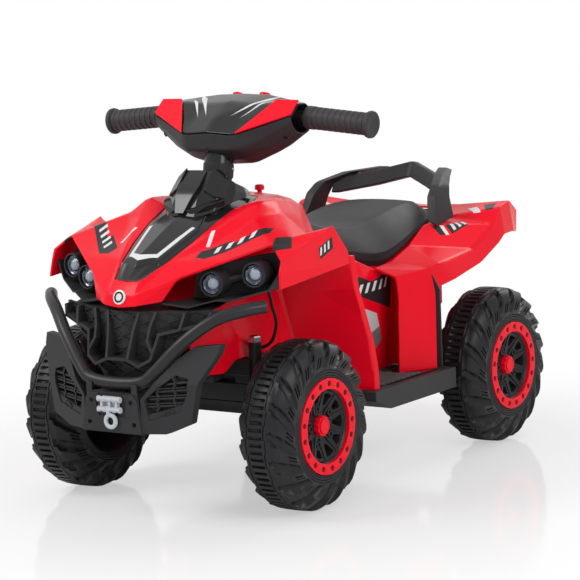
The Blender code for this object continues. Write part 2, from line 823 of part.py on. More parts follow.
def column_collar(parent):
    """Sleeve round the column between cowl and head."""
    axis = column_axis()
    top = column_point(HEAD_RISE - 0.0500)
    bore = COLUMN_RADIUS + RUN_GAP
    profile = [
        (0, bore),
        (0, COLLAR_RADIUS),
        (-COLLAR_LENGTH * 0.45, COLLAR_RADIUS),
        (-COLLAR_LENGTH * 0.60, COLLAR_RADIUS * 0.86),
        (-COLLAR_LENGTH, COLLAR_RADIUS * 0.80),
        (-COLLAR_LENGTH, bore),
    ]
    place("column_collar", turned(top, axis, profile, 16), black_matte(), column_point(0), parent, smooth=30)


def bar_point(x):
    """Centre line of the handlebar, straight in the head and drooping under the grips."""
    centre = bar_centre()
    over = max(0.0, abs(x) - BAR_HALF_STRAIGHT)
    return centre + Vector((x, 0, -over * math.tan(BAR_DROOP)))


def handlebar(parent):
    """Steel tube through the head."""
    end = GRIP_OUTER_X - 0.0100
    stations = (-end, -BAR_HALF_STRAIGHT, BAR_HALF_STRAIGHT, end)
    rings = []
    for x in stations:
        lean = 0.0
        if abs(x) > BAR_HALF_STRAIGHT:
            lean = BAR_DROOP
        elif abs(x) == BAR_HALF_STRAIGHT:
            lean = BAR_DROOP / 2
        direction = Vector((math.cos(lean), 0, -math.sin(lean) * math.copysign(1, x)))
        rings.append(circle(bar_point(x), direction, BAR_RADIUS, BAR_SIDES))
    place("handlebar_tube", loft(rings), steel(), bar_centre(), parent, smooth=30)


def grip_profile():
    """Half section of a grip along the bar: collar, ribbed barrel and flared, dished end."""
    length = (GRIP_OUTER_X - GRIP_INNER_X) / math.cos(BAR_DROOP)
    bore = BAR_RADIUS + RUN_GAP
    profile = [(0.0, bore), (0.0, GRIP_RADIUS + 0.003), (0.006, GRIP_RADIUS + 0.003), (0.009, GRIP_RADIUS)]
    start = 0.018
    pitch = (length - start - 0.012) / GRIP_RIBS
    for i in range(GRIP_RIBS):
        at = start + i * pitch
        profile += [(at, GRIP_RADIUS), (at + pitch * 0.5, GRIP_RADIUS + GRIP_RIB)]
    profile += [
        (length - 0.008, GRIP_RADIUS),
        (length - 0.005, GRIP_RADIUS + 0.0032),
        (length - 0.001, GRIP_RADIUS + 0.0035),
        (length, GRIP_RADIUS + 0.002),
        (length - 0.004, 0.006),
        (length - 0.0085, 0.005),
        (length - 0.0085, bore),
    ]
    return profile


def grip(side_name, parent):
    """Ribbed rubber grip."""
    side = SIDES[side_name]
    start = bar_point(side * GRIP_INNER_X)
    direction = Vector((side * math.cos(BAR_DROOP), 0, -math.sin(BAR_DROOP)))
    place(f"grip_{side_name}", turned(start, direction, grip_profile(), BAR_SIDES), black_matte(), start, parent, smooth=20)


# Chassis, drive and battery

PAN_TOP = 0.0000
PAN_BOTTOM = -0.0140
PAN_HALF = 0.0800
NECK = (0.0445, 0.0535)
NECK_HALF = 0.045
NOSE_HALF = 0.030
BUMPER_FRONT = -0.157
BUMPER_BACK = -0.147
CHEEK_X = (0.066, 0.072)


def board_outline(side):
    """Side view of a running board: a long block whose front end is cut away underneath."""
    top = BOARD_TOP
    bottom = top - BOARD_DEPTH
    start = front(0, 0.1355, 0).y
    chamfer = front(0, 0.1700, 0).y
    end = rear(0, -0.1105, 0).y
    x = side * BOARD_INNER_X
    return [
        Vector((x, start, AXLE_Z + top)),
        Vector((x, start, AXLE_Z + top - 0.012)),
        Vector((x, chamfer, AXLE_Z + bottom)),
        Vector((x, end, AXLE_Z + bottom)),
        Vector((x, end, AXLE_Z + top)),
    ]


def board_grooves(side):
    """Channels along the tread of a running board, and the notches down its side."""
    cuts = []
    start = front(0, 0.1355, 0).y + 0.012
    end = rear(0, -0.1105, 0).y - 0.010
    pitch = (BOARD_OUTER_X - BOARD_INNER_X - 0.010) / BOARD_RIBS
    top = AXLE_Z + BOARD_TOP
    for i in range(BOARD_RIBS):
        x0 = side * (BOARD_INNER_X + 0.007 + i * pitch)
        x1 = x0 + side * pitch * 0.5
        x0, x1 = sorted((x0, x1))
        cuts.append(box((x0, start + 0.02 + i * 0.003, top - 0.002), (x1, end, top + 0.002)))
    return cuts


def chassis():
    """Moulded tray with its neck to the front axle, running boards and rear axle cheeks."""
    y0 = front(0, 0.083, 0).y
    y1 = rear(0, -0.064, 0).y
    pan = box((-PAN_HALF, y0, AXLE_Z + PAN_BOTTOM), (PAN_HALF, y1, AXLE_Z + PAN_TOP))
    obj = place("chassis_tray", pan, black_matte())
    tools = [
        box(front(-NECK_HALF, -0.020, NECK[0] + RUN_GAP), front(NECK_HALF, 0.094, NECK[1] - RUN_GAP)),
        box(front(-NOSE_HALF, BUMPER_BACK + RUN_GAP, NECK[0] + RUN_GAP), front(NOSE_HALF, -0.019, NECK[1] - RUN_GAP)),
        box(front(-NECK_HALF, 0.0835, PAN_BOTTOM + 0.002), front(NECK_HALF, 0.0945, NECK[1] - RUN_GAP)),
        box(rear(-CHEEK_X[1], -0.070, PAN_BOTTOM), rear(CHEEK_X[1], 0.022, PAN_BOTTOM + 0.006)),
    ]
    for side in (1, -1):
        tools.append(prism(board_outline(side), (side * (BOARD_OUTER_X - BOARD_INNER_X), 0, 0)))
        x0, x1 = sorted((side * (PAN_HALF - 0.002), side * (BOARD_INNER_X + 0.002)))
        y_low = front(0, 0.172, 0).y
        y_high = rear(0, -0.112, 0).y
        tools.append(box((x0, y_low, AXLE_Z + BOARD_TOP - BOARD_DEPTH + 0.001), (x1, y_high, AXLE_Z + PAN_TOP - 0.001)))
        x0, x1 = sorted((side * CHEEK_X[0], side * (CHEEK_X[1] - 0.0002)))
        tools.append(box(rear(x0, -0.014, PAN_BOTTOM + 0.001), rear(x1, 0.014, 0.020)))
    combine(obj, tools, "UNION")
    cuts = []
    bore = STUB_RADIUS + RUN_GAP
    cuts.append(rod(rear(-0.1, 0, 0), rear(0.1, 0, 0), bore))
    cuts.append(rod(column_point(CRANK_FOOT + 0.010), column_point(NECK[1] + 0.02), COLUMN_RADIUS + RUN_GAP))
    combine(obj, cuts, "DIFFERENCE")
    grooves = bmesh.new()
    for side in (1, -1):
        for cut in board_grooves(side):
            add_bmesh(grooves, cut)
    combine(obj, [grooves], "DIFFERENCE")
    return pedal_bosses(obj)


def pedal_bosses(obj):
    """Two ears on the right running board that hold the ends of the pedal's pin."""
    heel = pedal_hinge()
    foot = AXLE_Z + BOARD_TOP - 0.003
    ears = []
    for side in (1, -1):
        inner = heel.x + side * (PEDAL_WIDTH / 2 + SEAT_GAP)
        x0, x1 = sorted((inner, inner + side * PEDAL_EAR))
        ears.append(box((x0, heel.y - 0.005, foot), (x1, heel.y + 0.005, heel.z + 0.0045)))
    combine(obj, ears, "UNION")
    reach = Vector((PEDAL_WIDTH / 2 + PEDAL_EAR * 2, 0, 0))
    return combine(obj, [rod(heel - reach, heel + reach, PEDAL_PIN + RUN_GAP, 10)], "DIFFERENCE")


def rear_axle():
    """Steel rod that both rear wheels turn on."""
    reach = HALF_TRACK + HALF_TYRE - 0.0130
    place("rear_axle", rod(rear(-reach, 0, 0), rear(reach, 0, 0), STUB_RADIUS), steel(), rear(0, 0, 0))


def gearbox():
    """Reduction gearbox beside the driven right rear wheel, with the motor on its inner face."""
    x0 = -(HALF_TRACK - HALF_TYRE) + 0.006
    x1 = -CHEEK_X[1] - RUN_GAP
    low = -0.022
    outline = [
        rear(x0, -0.060, 0.002),
        rear(x0, -0.052, -0.010),
        rear(x0, -0.012, low),
        rear(x0, 0.016, low + 0.004),
        rear(x0, 0.026, 0.010),
        rear(x0, 0.016, 0.026),
        rear(x0, -0.020, 0.044),
        rear(x0, -0.050, 0.042),
        rear(x0, -0.060, 0.030),
    ]
    obj = place("gearbox", prism(outline, (x1 - x0, 0, 0)), grey_plastic(), rear(0, 0, 0))
    bore = rod(rear(x0 - 0.01, 0, 0), rear(x1 + 0.01, 0, 0), STUB_RADIUS + RUN_GAP)
    combine(obj, [bore], "DIFFERENCE")
    motor_at = rear(x1 + RUN_GAP, -0.036, 0.020)
    profile = [(0, 0.0140), (0.046, 0.0140), (0.048, 0.0125), (0.048, 0.0050), (0.052, 0.0045)]
    place("motor", turned_solid(motor_at, (1, 0, 0), profile, 12), steel(), motor_at, smooth=30)


def battery():
    """Six volt block battery that stands in the tray under the seat."""
    y0 = rear(0, -0.225, 0).y
    low = (-0.035, y0, AXLE_Z + PAN_TOP + RUN_GAP)
    high = (0.035, y0 + 0.048, AXLE_Z + PAN_TOP + 0.098)
    place("battery", box(low, high), grey_plastic())


# Bodywork


def seat_base_height(y):
    """Height of the underside of the seat above the axle, from the distance to the rear axle."""
    table = SEAT_STATIONS
    if y <= table[0][0]:
        return table[0][2]
    for (y0, _, b0, _), (y1, _, b1, _) in zip(table, table[1:]):
        if y0 <= y <= y1:
            return b0 + (b1 - b0) * (y - y0) / (y1 - y0)
    return table[-1][2]


# Distance behind the rear axle, half width, underside and top of the seat above the axle
SEAT_STATIONS = (
    (-0.237, 0.018, 0.206, 0.221),
    (-0.205, 0.052, 0.162, 0.203),
    (-0.170, 0.076, 0.147, 0.196),
    (-0.135, 0.088, 0.143, 0.197),
    (-0.095, 0.092, 0.156, 0.204),
    (-0.050, 0.088, 0.172, 0.210),
    (-0.005, 0.077, 0.180, 0.211),
    (0.025, 0.056, 0.184, 0.206),
    (0.042, 0.026, 0.187, 0.198),
)


def seat():
    """Moulded saddle with a crowned top, drawn-in sides and a skirt."""
    rings = []
    for y, half, base, top in SEAT_STATIONS:
        depth = top - base
        side = [
            (half * 0.90, base),
            (half * 0.985, base + depth * 0.10),
            (half, base + depth * 0.28),
            (half * 0.95, base + depth * 0.62),
            (half * 0.80, base + depth * 0.88),
            (half * 0.42, base + depth * 0.985),
        ]
        ring = [(x, z) for x, z in side] + [(0.0, top)] + [(-x, z) for x, z in reversed(side)]
        rings.append([rear(x, y, z) for x, z in ring])
    place("seat", loft(rings), black_matte(), smooth=50)


def main_body_sections():
    """Half sections of the tunnel: distance behind the front axle, then (x, z) from the top middle down."""
    front_part = [
        (-0.088, [(0, 0.138), (0.045, 0.136), (0.060, 0.126), (0.064, 0.105), (0.065, 0.085), (0.066, 0.064)]),
        (-0.040, [(0, 0.162), (0.048, 0.158), (0.069, 0.142), (0.076, 0.115), (0.077, 0.090), (0.077, 0.061)]),
        (-0.018, [(0, 0.176), (0.048, 0.170), (0.070, 0.148), (0.077, 0.125), (0.077, 0.098), (0.077, 0.0735)]),
        (0.016, [(0, 0.200), (0.046, 0.194), (0.070, 0.172), (0.077, 0.135), (0.077, 0.104), (0.077, 0.0735)]),
        (0.065, [(0, 0.224), (0.044, 0.217), (0.067, 0.190), (0.076, 0.140), (0.077, 0.100), (0.077, 0.0735)]),
        (0.075, [(0, 0.228), (0.044, 0.221), (0.067, 0.190), (0.076, 0.140), (0.078, 0.080), (0.079, 0.001)]),
        (0.145, [(0, 0.2220), (0.040, 0.2150), (0.062, 0.1780), (0.082, 0.147), (0.084, 0.080), (0.083, 0.001)]),
        (0.185, [(0, 0.214), (0.034, 0.206), (0.062, 0.172), (0.092, 0.148), (0.092, 0.080), (0.085, 0.001)]),
    ]
    return front_part


def main_body_rear_sections():
    """The same behind the tank, measured from the rear axle, with the top that carries the seat."""
    stations = []
    shapes = (
        (-0.205, 0.060, 0.090, 0.098, 0.138, 0.094, 0.001),
        (-0.170, 0.078, 0.0955, 0.1005, 0.132, 0.097, 0.001),
        (-0.135, 0.084, 0.0945, 0.0960, 0.138, 0.093, 0.001),
        (-0.095, 0.084, 0.0915, 0.0925, 0.145, 0.090, 0.045),
        (-0.050, 0.078, 0.0870, 0.0890, 0.150, 0.088, 0.055),
        (0.010, 0.066, 0.0760, 0.0800, 0.160, 0.082, 0.075),
    )
    for y, top_x, edge_x, side_x, side_z, low_x, low_z in shapes:
        deck = seat_base_height(y) - SEAT_GAP
        middle = (side_z + low_z) / 2
        half = [(0, deck), (top_x, deck), (edge_x, deck - 0.003), (side_x, side_z), (low_x, middle), (min(low_x, 0.085), low_z)]
        stations.append((y, half))
    return stations


def main_body():
    """Tunnel between the legs: an open-bottomed shell from the front axle to under the seat."""
    points = {}
    faces = []
    rows = [(front(0, y, 0).y, half) for y, half in main_body_sections()]
    rows += [(rear(0, y, 0).y, half) for y, half in main_body_rear_sections()]
    for i, (y, half) in enumerate(rows):
        for j, (x, z) in enumerate(half):
            points[f"b{i}_{j}"] = Vector((x, y, AXLE_Z + z))
    for i in range(len(rows) - 1):
        for j in range(len(rows[0][1]) - 1):
            faces.append(f"b{i}_{j} b{i}_{j + 1} b{i + 1}_{j + 1} b{i + 1}_{j}")
    obj = panel("main_body", points, faces, PANEL_WALL, red_gloss())
    hole = rod(column_point(0.12), column_point(0.30), 0.016)
    return combine(obj, [hole], "DIFFERENCE")


FAIRING = {
    "chin_c": (0, -0.1365, 0.149),
    "chin_s": (0.022, -0.1345, 0.151),
    "badge_c": (0, -0.1325, 0.163),
    "badge_s": (0.0205, -0.1300, 0.164),
    "nose_c": (0, -0.1195, 0.177),
    "nose_s": (0.019, -0.1175, 0.178),
    "lip": (0.048, -0.1155, 0.155),
    "bend": (0.061, -0.1035, 0.181),
    "lamp_mid": (0.104, -0.0695, 0.198),
    "corner": (0.147, -0.0355, 0.215),
    "o1": (0.032, -0.0850, 0.1945),
    "o2": (0.041, -0.0500, 0.2120),
    "o3": (0.047, -0.0100, 0.2310),
    "o4": (0.050, 0.0300, 0.2460),
    "o5": (0.050, 0.0700, 0.2510),
    "o6": (0.040, 0.0950, 0.2530),
    "r1": (0.037, -0.0830, 0.1970),
    "r2": (0.053, -0.0400, 0.2175),
    "r3": (0.067, -0.0020, 0.2365),
    "r4": (0.081, 0.0350, 0.2560),
    "r5": (0.080, 0.0700, 0.2545),
    "r6": (0.072, 0.1050, 0.2495),
    "r7": (0.062, 0.1400, 0.2430),
    "r8": (0.052, 0.1700, 0.2330),
    "r9": (0.042, 0.1920, 0.2240),
    "k2": (0.063, -0.0450, 0.2090),
    "k3": (0.079, -0.0120, 0.2230),
    "k4": (0.094, 0.0120, 0.2385),
    "crease1": (0.1205, -0.0118, 0.2268),
    "q1": (0.100, 0.0550, 0.2400),
    "q12": (0.126, 0.0280, 0.2290),
    "q2": (0.150, 0.0020, 0.2200),
    "v0": (0.118, 0.0640, 0.2230),
    "v1": (0.146, 0.0450, 0.2130),
    "v2": (0.142, 0.0860, 0.1900),
    "v3": (0.108, 0.1050, 0.1990),
    "w6": (0.094, 0.0980, 0.2300),
    "w7": (0.086, 0.1350, 0.2050),
    "w8": (0.078, 0.1630, 0.1900),
    "t0": (0, 0.0970, 0.2570),
    "t1": (0, 0.1350, 0.2535),
    "t2": (0, 0.1660, 0.2470),
    "t3": (0, 0.1930, 0.2330),
    "s1": (0.042, 0.1350, 0.2505),
    "s2": (0.038, 0.1660, 0.2430),
    "s3": (0.030, 0.1930, 0.2290),
    "f_a": (0.168, -0.0445, 0.198),
    "f_b": (0.170, -0.0165, 0.208),
    "f_c": (0.172, 0.0545, 0.227),
    "f_d": (0.172, 0.0855, 0.193),
    "f_e": (0.170, 0.0905, 0.177),
    "f_f": (0.170, -0.0525, 0.166),
    "f_g": (0.168, -0.0495, 0.185),
}

FAIRING_FACES = (
    "chin_c chin_s badge_s badge_c",
    "badge_c badge_s nose_s nose_c",
    "chin_s lip bend badge_s",
    "badge_s bend r1 nose_s",
    "nose_s r1 o1",
    "r1 bend lamp_mid k2",
    "r1 k2 r2",
    "k2 lamp_mid k3",
    "k3 lamp_mid crease1 k4",
    "r2 k2 k3 r3",
    "r3 k3 k4 r4",
    "lamp_mid corner crease1",
    "o1 r1 r2 o2",
    "o2 r2 r3 o3",
    "o3 r3 r4 o4",
    "o4 r4 r5 o5",
    "o5 r5 r6 o6",
    "k4 crease1 q12 q1",
    "r4 k4 q1",
    "crease1 corner q2 q12",
    "r4 q1 r5",
    "corner f_a f_b q2",
    "q2 f_b f_c v1",
    "q12 q2 v1",
    "q1 q12 v1 v0",
    "v0 v1 v2 v3",
    "v1 f_c f_d v2",
    "q1 v0 v3 w6",
    "r5 q1 w6 r6",
    "r6 w6 w7 r7",
    "w6 v3 w7",
    "r7 w7 w8 r8",
    "f_a f_g f_d f_c f_b",
    "f_g f_f f_e f_d",
    "t0 o6 s1 t1",
    "t1 s1 s2 t2",
    "t2 s2 s3 t3",
    "o6 r6 r7 s1",
    "s1 r7 r8 s2",
    "s2 r8 r9 s3",
)


def front_fairing():
    """Hood, mudguards and tank cover in one faceted moulding, with an opening for the hood cover."""
    points = {key: front(*value) for key, value in FAIRING.items()}
    obj = panel("front_fairing", points, FAIRING_FACES, PANEL_WALL, red_gloss())
    slot = rod(front(0, SWITCH_BACK, 0.20), front(0, SWITCH_BACK, 0.30), SWITCH_HOLE, 12)
    return combine(obj, [slot], "DIFFERENCE")


def fairing_bosses(body, fairing):
    """Four bosses of the tunnel that the tank cover is screwed to."""
    bosses = []
    for x, y in COVER_BOSSES:
        for side in (1, -1):
            bosses.append(seat_boss(body, fairing, side * x, front(0, y, 0).y))
    return combine(body, bosses, "UNION")


COVER_BOSSES = ((0.028, 0.118), (0.024, 0.173))
SWITCH_BACK = 0.154
SWITCH_HOLE = 0.0075

COVER_EDGE_GAP = 0.0010


def hood_cover():
    """Gloss insert that fills the opening of the hood and carries the cowl."""
    gap = COVER_EDGE_GAP
    edge = [FAIRING[key] for key in ("nose_s", "o1", "o2", "o3", "o4", "o5", "o6")]
    middle = [(0, -0.1180, 0.1775), (0, -0.0830, 0.204), (0, -0.0500, 0.2215), (0, -0.0100, 0.2375)]
    middle += [(0, 0.0300, 0.2480), (0, 0.0700, 0.2535), (0, 0.0930, 0.2550)]
    points = {}
    faces = []
    for i, ((ex, ey, ez), (_, my, mz)) in enumerate(zip(edge, middle)):
        y = ey + (gap if i == 0 else 0) - (gap if i == 6 else 0)
        outer = ex - gap
        bulge = mz * 0.65 + ez * 0.35
        points[f"m{i}"] = front(0, max(my, y) if i == 0 else min(my, y), mz)
        points[f"n{i}"] = front(outer * 0.62, y, bulge)
        points[f"e{i}"] = front(outer, y, ez - 0.0005)
    for i in range(6):
        faces.append(f"m{i} n{i} n{i + 1} m{i + 1}")
        faces.append(f"n{i} e{i} e{i + 1} n{i + 1}")
    obj = panel("hood_cover", points, faces, TRIM_WALL, black_gloss())
    hole = rod(column_point(0.20), column_point(0.29), 0.0225, 16)
    return combine(obj, [hole], "DIFFERENCE")


def cowl():
    """Faceted cowl round the foot of the steering column, with its raised horns."""
    rings = (
        [(0, -0.0120, 0.2395), (0.020, -0.0100, 0.2380), (0.036, 0.0080, 0.2440), (0.044, 0.0350, 0.2520)]
        + [(0.044, 0.0640, 0.2555), (0.034, 0.0880, 0.2570), (0, 0.0915, 0.2580)],
        [(0, 0.0030, 0.2640), (0.016, 0.0050, 0.2620), (0.034, 0.0220, 0.2650), (0.042, 0.0440, 0.2640)]
        + [(0.042, 0.0660, 0.2610), (0.032, 0.0870, 0.2600), (0, 0.0900, 0.2600)],
        [(0, 0.0330, 0.2900), (0.020, 0.0340, 0.2895), (0.032, 0.0400, 0.2830), (0.040, 0.0480, 0.2740)]
        + [(0.039, 0.0670, 0.2670), (0.030, 0.0860, 0.2625), (0, 0.0885, 0.2620)],
    )
    points = {}
    faces = []
    for i, ring in enumerate(rings):
        for j, value in enumerate(ring):
            points[f"c{i}_{j}"] = front(*value)
    for i in range(len(rings) - 1):
        for j in range(len(rings[0]) - 1):
            faces.append(f"c{i}_{j} c{i}_{j + 1} c{i + 1}_{j + 1} c{i + 1}_{j}")
    return panel("cowl", points, faces, TRIM_WALL, black_gloss())


LEG_SHIELD = (
    (0.185, (0.080, 0.070), (0.118, 0.083), (0.166, 0.097)),
    (0.143, (0.081, 0.077), (0.116, 0.092), (0.166, 0.106)),
    (0.111, (0.082, 0.087), (0.115, 0.101), (0.165, 0.121)),
    (0.078, (0.084, 0.097), (0.115, 0.112), (0.165, 0.135)),
    (0.040, (0.086, 0.109), (0.116, 0.125), (0.165, 0.144)),
    (BOARD_TOP + SEAT_GAP, (0.088, 0.115), (0.118, 0.131), (0.165, 0.145)),
)


def leg_shield(side_name):
    """Curved guard between front wheel and foot, standing on the running board."""
    side = SIDES[side_name]
    points = {}
    faces = []
    for i, (z, *section) in enumerate(LEG_SHIELD):
        for j, (x, y) in enumerate(section):
            points[f"g{i}_{j}"] = front(side * x, y, z)
        x, y = section[-1]
        points[f"g{i}_3"] = front(side * (x + 0.001), y + 0.009, z)
    for i in range(len(LEG_SHIELD) - 1):
        for j in range(3):
            faces.append(f"g{i}_{j} g{i}_{j + 1} g{i + 1}_{j + 1} g{i + 1}_{j}")
    return panel(f"leg_shield_{side_name}", points, faces, PANEL_WALL, red_gloss(), False, (side * 0.3, -1, 0.2))


REAR_FAIRING = {
    "a0": (0.1000, -0.180, 0.1470),
    "a1": (0.1280, -0.175, 0.1360),
    "a2": (0.1300, -0.174, 0.1060),
    "a3": (0.1290, -0.176, BOARD_TOP + SEAT_GAP),
    "b0": (0.0990, -0.140, 0.1500),
    "b1": (0.1480, -0.1300, 0.1420),
    "b2": (0.1550, -0.1260, 0.1160),
    "b3": (0.1560, -0.130, BOARD_TOP + SEAT_GAP),
    "c0": (0.0970, -0.095, 0.1640),
    "c1": (0.1560, -0.1150, 0.1470),
    "c2": (0.1600, -0.0860, 0.1230),
    "d0": (0.0930, -0.050, 0.1850),
    "d1": (0.1560, -0.0345, 0.1550),
    "d2": (0.1620, -0.0230, 0.1360),
    "e0": (0.0900, 0.0060, 0.1890),
    "e1": (0.1580, 0.0185, 0.1810),
    "e2": (0.1630, 0.0230, 0.1560),
    "f0": (0.0640, 0.0360, 0.1920),
    "f1": (0.1570, 0.0375, 0.2010),
    "f2": (0.1610, 0.0420, 0.1650),
    "g0": (0.0400, 0.0560, 0.1960),
    "g1": (0.1540, 0.0680, 0.2060),
    "g2": (0.1560, 0.0740, 0.1650),
    "h0": (0.0400, 0.1200, 0.1920),
    "h1": (0.1420, 0.1080, 0.1880),
    "h2": (0.1430, 0.1040, 0.1600),
    "gm": (0, 0.0560, 0.1970),
    "hm": (0, 0.1200, 0.1900),
}

REAR_FACES = (
    "a0 a1 b1 b0",
    "a1 a2 b2 b1",
    "a2 a3 b3 b2",
    "b0 b1 c1 c0",
    "b1 b2 c2 c1",
    "c0 c1 d1 d0",
    "c1 c2 d2 d1",
    "d0 d1 e1 e0",
    "d1 d2 e2 e1",
    "e0 e1 f1 f0",
    "e1 e2 f2 f1",
    "f0 f1 g1 g0",
    "f1 f2 g2 g1",
    "g0 g1 h1 h0",
    "g1 g2 h2 h1",
    "gm g0 h0 hm",
)


def rear_fairing():
    """Rear mudguards and tail in one moulding, with legs down to the running boards."""
    points = {key: rear(*value) for key, value in REAR_FAIRING.items()}
    return panel("rear_fairing", points, REAR_FACES, PANEL_WALL, red_gloss())


POST_INSET = 0.0015


def backrest(fairing):
    """Low backrest: two swept posts that stand on the tail and the cranked bar between them."""
    half = 0.007
    spine = [(0.094, -0.012, 0.220), (0.090, 0.000, 0.233), (0.072, 0.036, 0.243), (0.046, 0.088, 0.246)]
    depth = [0.036, 0.026, 0.022, 0.014]
    inner_edge = max(REAR_FAIRING["d0"][0], REAR_FAIRING["e0"][0])
    foot = foot_ring(fairing, rear(inner_edge + POST_INSET + half, -0.020, 0), half, 0.023)
    rings = [foot]
    for (x, y, z), d in zip(spine, depth):
        ring = [(x - half, y - d / 2, z), (x + half, y - d / 2, z)]
        ring += [(x + half, y + d / 2, z - 0.004), (x - half, y + d / 2, z - 0.004)]
        rings.append([rear(*p) for p in ring])
    obj = place("backrest", faceted(loft(rings)), black_matte())
    other = mirrored(faceted(loft(rings)))
    bar_rows = []
    for x, y, z in ((0.084, 0.012, 0.228), (0.040, 0.050, 0.236), (0.0, 0.074, 0.246)):
        low = [(x, y - 0.008, z - 0.012), (x, y + 0.010, z - 0.014)]
        bar_rows.append(low + [(x, y + 0.018, z + 0.006), (x, y + 0.004, z + 0.008)])
    bar_rows += [[(-x, y, z) for x, y, z in row] for row in reversed(bar_rows[:-1])]
    bar = loft([[rear(*p) for p in row] for row in bar_rows])
    return combine(obj, [bar, other], "UNION")


def foot_ring(carrier, centre, half_x, half_y):
    """Corners of a post's foot, laid on the surface that carries it with the seating gap."""
    corners = ((-1, -1), (1, -1), (1, 1), (-1, 1))
    below = []
    for a, b in corners:
        start = (centre.x + a * half_x, centre.y + b * half_y, 1.0)
        below.append(surface_hit(carrier, start, (0, 0, -1)))
    lift = 0.0
    for a in (0.0, 0.25, 0.5, 0.75, 1.0):
        for b in (0.0, 0.25, 0.5, 0.75, 1.0):
            plane = below[0].lerp(below[1], a).lerp(below[3].lerp(below[2], a), b)
            hit = surface_hit(carrier, (plane.x, plane.y, 1.0), (0, 0, -1))
            lift = max(lift, hit.z - plane.z)
    return [point + Vector((0, 0, lift + RUN_GAP)) for point in below]


# Front end


GRILLE_FOOT = 0.026
GRILLE_TOP = 0.1440
RIB_WIDTH = 0.0035
RIB_ROOT = 0.0015

# Distance from the middle and height above the axle of the ribs' corners, on the left half
FRAME_RIB = ((0.015, 0.090), (0.031, 0.083), (0.045, 0.091), (0.051, 0.119), (0.101, 0.131), (0.106, 0.1435))
CENTRE_RIB = ((0.0225, GRILLE_TOP), (0.018, 0.122), (0.015, 0.090))
INNER_RIB = ((0.044, GRILLE_TOP), (0.039, 0.127), (0.038, 0.112), (0.0460, 0.0985))
OUTER_RIB = ((0.0775, GRILLE_TOP), (0.077, 0.138), (0.074, 0.1240))


def grille():
    """Bent shield-shaped grille with a framework of ribs that stand well proud of its plate."""
    outline = [(0.0, NECK[1]), (GRILLE_FOOT, NECK[1]), (0.048, 0.076), (0.090, 0.118)]
    outline += [(0.119, 0.139), (0.120, GRILLE_TOP), (0.0, GRILLE_TOP)]
    full = outline + [(-x, z) for x, z in reversed(outline[1:-1])]
    cols = sorted({round(x, 4) for x, _ in full})
    points = {}
    faces = []
    for i, x in enumerate(cols):
        low, high = span_at(outline, abs(x))
        points[f"l{i}"] = front(x, grille_depth(abs(x)), low)
        points[f"h{i}"] = front(x, grille_depth(abs(x)), high)
    for i in range(len(cols) - 1):
        faces.append(f"l{i} l{i + 1} h{i + 1} h{i}")
    obj = panel("grille", points, faces, GRILLE_WALL, black_matte(), False, (0, -1, 0))
    ribs = [grille_rib([(-x, z) for x, z in reversed(FRAME_RIB)] + list(FRAME_RIB))]
    for line in (CENTRE_RIB, INNER_RIB, OUTER_RIB):
        for side in (1, -1):
            ribs.append(grille_rib([(side * x, z) for x, z in line]))
    return combine(obj, ribs, "UNION")


def grille_depth(x):
    """Front face of the grille's plate, curving back towards the sides."""
    return -0.1300 + 0.05 * (x / 0.12) ** 1.5


def rib_face(x, z):
    """Front edge of the ribs, which leans back upwards and curves back to the sides."""
    return -0.145 + 0.30 * (z - 0.090) + 2.42 * x**2


def grille_rib(line):
    """Rib of even width along a bent line of (x, z), with mitred corners."""
    flat = [Vector(p) for p in line]
    rings = []
    for i, here in enumerate(flat):
        before = (here - flat[i - 1]).normalized() if i > 0 else None
        after = (flat[i + 1] - here).normalized() if i + 1 < len(flat) else None
        before, after = before or after, after or before
        across = Vector((-(before.y + after.y), before.x + after.x)).normalized()
        half = RIB_WIDTH / 2 / max(0.4, across.dot(Vector((-before.y, before.x))))
        left, right = here + across * half, here - across * half
        root = max(grille_depth(abs(p.x)) for p in (left, right)) + RIB_ROOT
        face = rib_face(here.x, here.y)
        rings.append(
            [front(left.x, face, left.y), front(right.x, face, right.y)]
            + [front(right.x, root, right.y), front(left.x, root, left.y)]
        )
    return faceted(loft(rings))


def span_at(outline, x):
    """Lowest and highest point of a half outline at a distance from the middle."""
    hits = []
    for (x0, z0), (x1, z1) in zip(outline, outline[1:]):
        if min(x0, x1) <= x <= max(x0, x1) and x0 != x1:
            hits.append(z0 + (z1 - z0) * (x - x0) / (x1 - x0))
    return min(hits), max(hits)


BULL_BAR = (
    (0.0, -0.1475, 0.063),
    (0.036, -0.1465, 0.066),
    (0.052, -0.1430, 0.077),
    (0.085, -0.1290, 0.112),
    (0.115, -0.1080, 0.136),
    (0.140, -0.0860, 0.145),
    (0.157, -0.0660, 0.148),
)


def bull_bar():
    """Bent tube that runs down in front of the grille and back behind the lamps."""
    left = [front(*p) for p in BULL_BAR]
    right = mirror_points(left[1:])
    return tube("bull_bar", list(reversed(right)) + left, BULL_BAR_RADIUS, black_matte(), 2, 2)


WING_LOW = ((0.0405, 0.0480), (0.0560, 0.0660), (0.1080, 0.0660), (0.0990, 0.0210), (0.0700, 0.0085), (0.0410, 0.0078))
WING_HIGH = ((0.0560, 0.0660), (0.0780, 0.0920), (0.0960, 0.1070), (0.1270, 0.1100), (0.1250, 0.0980), (0.1080, 0.0660))
WINDOW = ((0.062, 0.062), (0.081, 0.076), (0.0963, 0.0725), (0.0955, 0.0555), (0.087, 0.034), (0.050, 0.023), (0.045, 0.047))
PLATE_HOLES = ((0.0285, 0.0435), (0.0320, 0.0180))
PLATE_HOLE_RADIUS = 0.0024
WING_DEPTH = 0.012
WINDOW_DEPTH = 0.009
SLATS = 5
SLAT_THICKNESS = 0.0022
SLAT_ROOT = 0.0012
SLAT_END_GAP = 0.0005
SLAT_INSET = 0.003
SLAT_LEAN = 0.0015
SLAT_RISE = 0.003
WING_SWEEP = 0.28
WING_LEAN = 0.40
WING_FOLD = 0.066
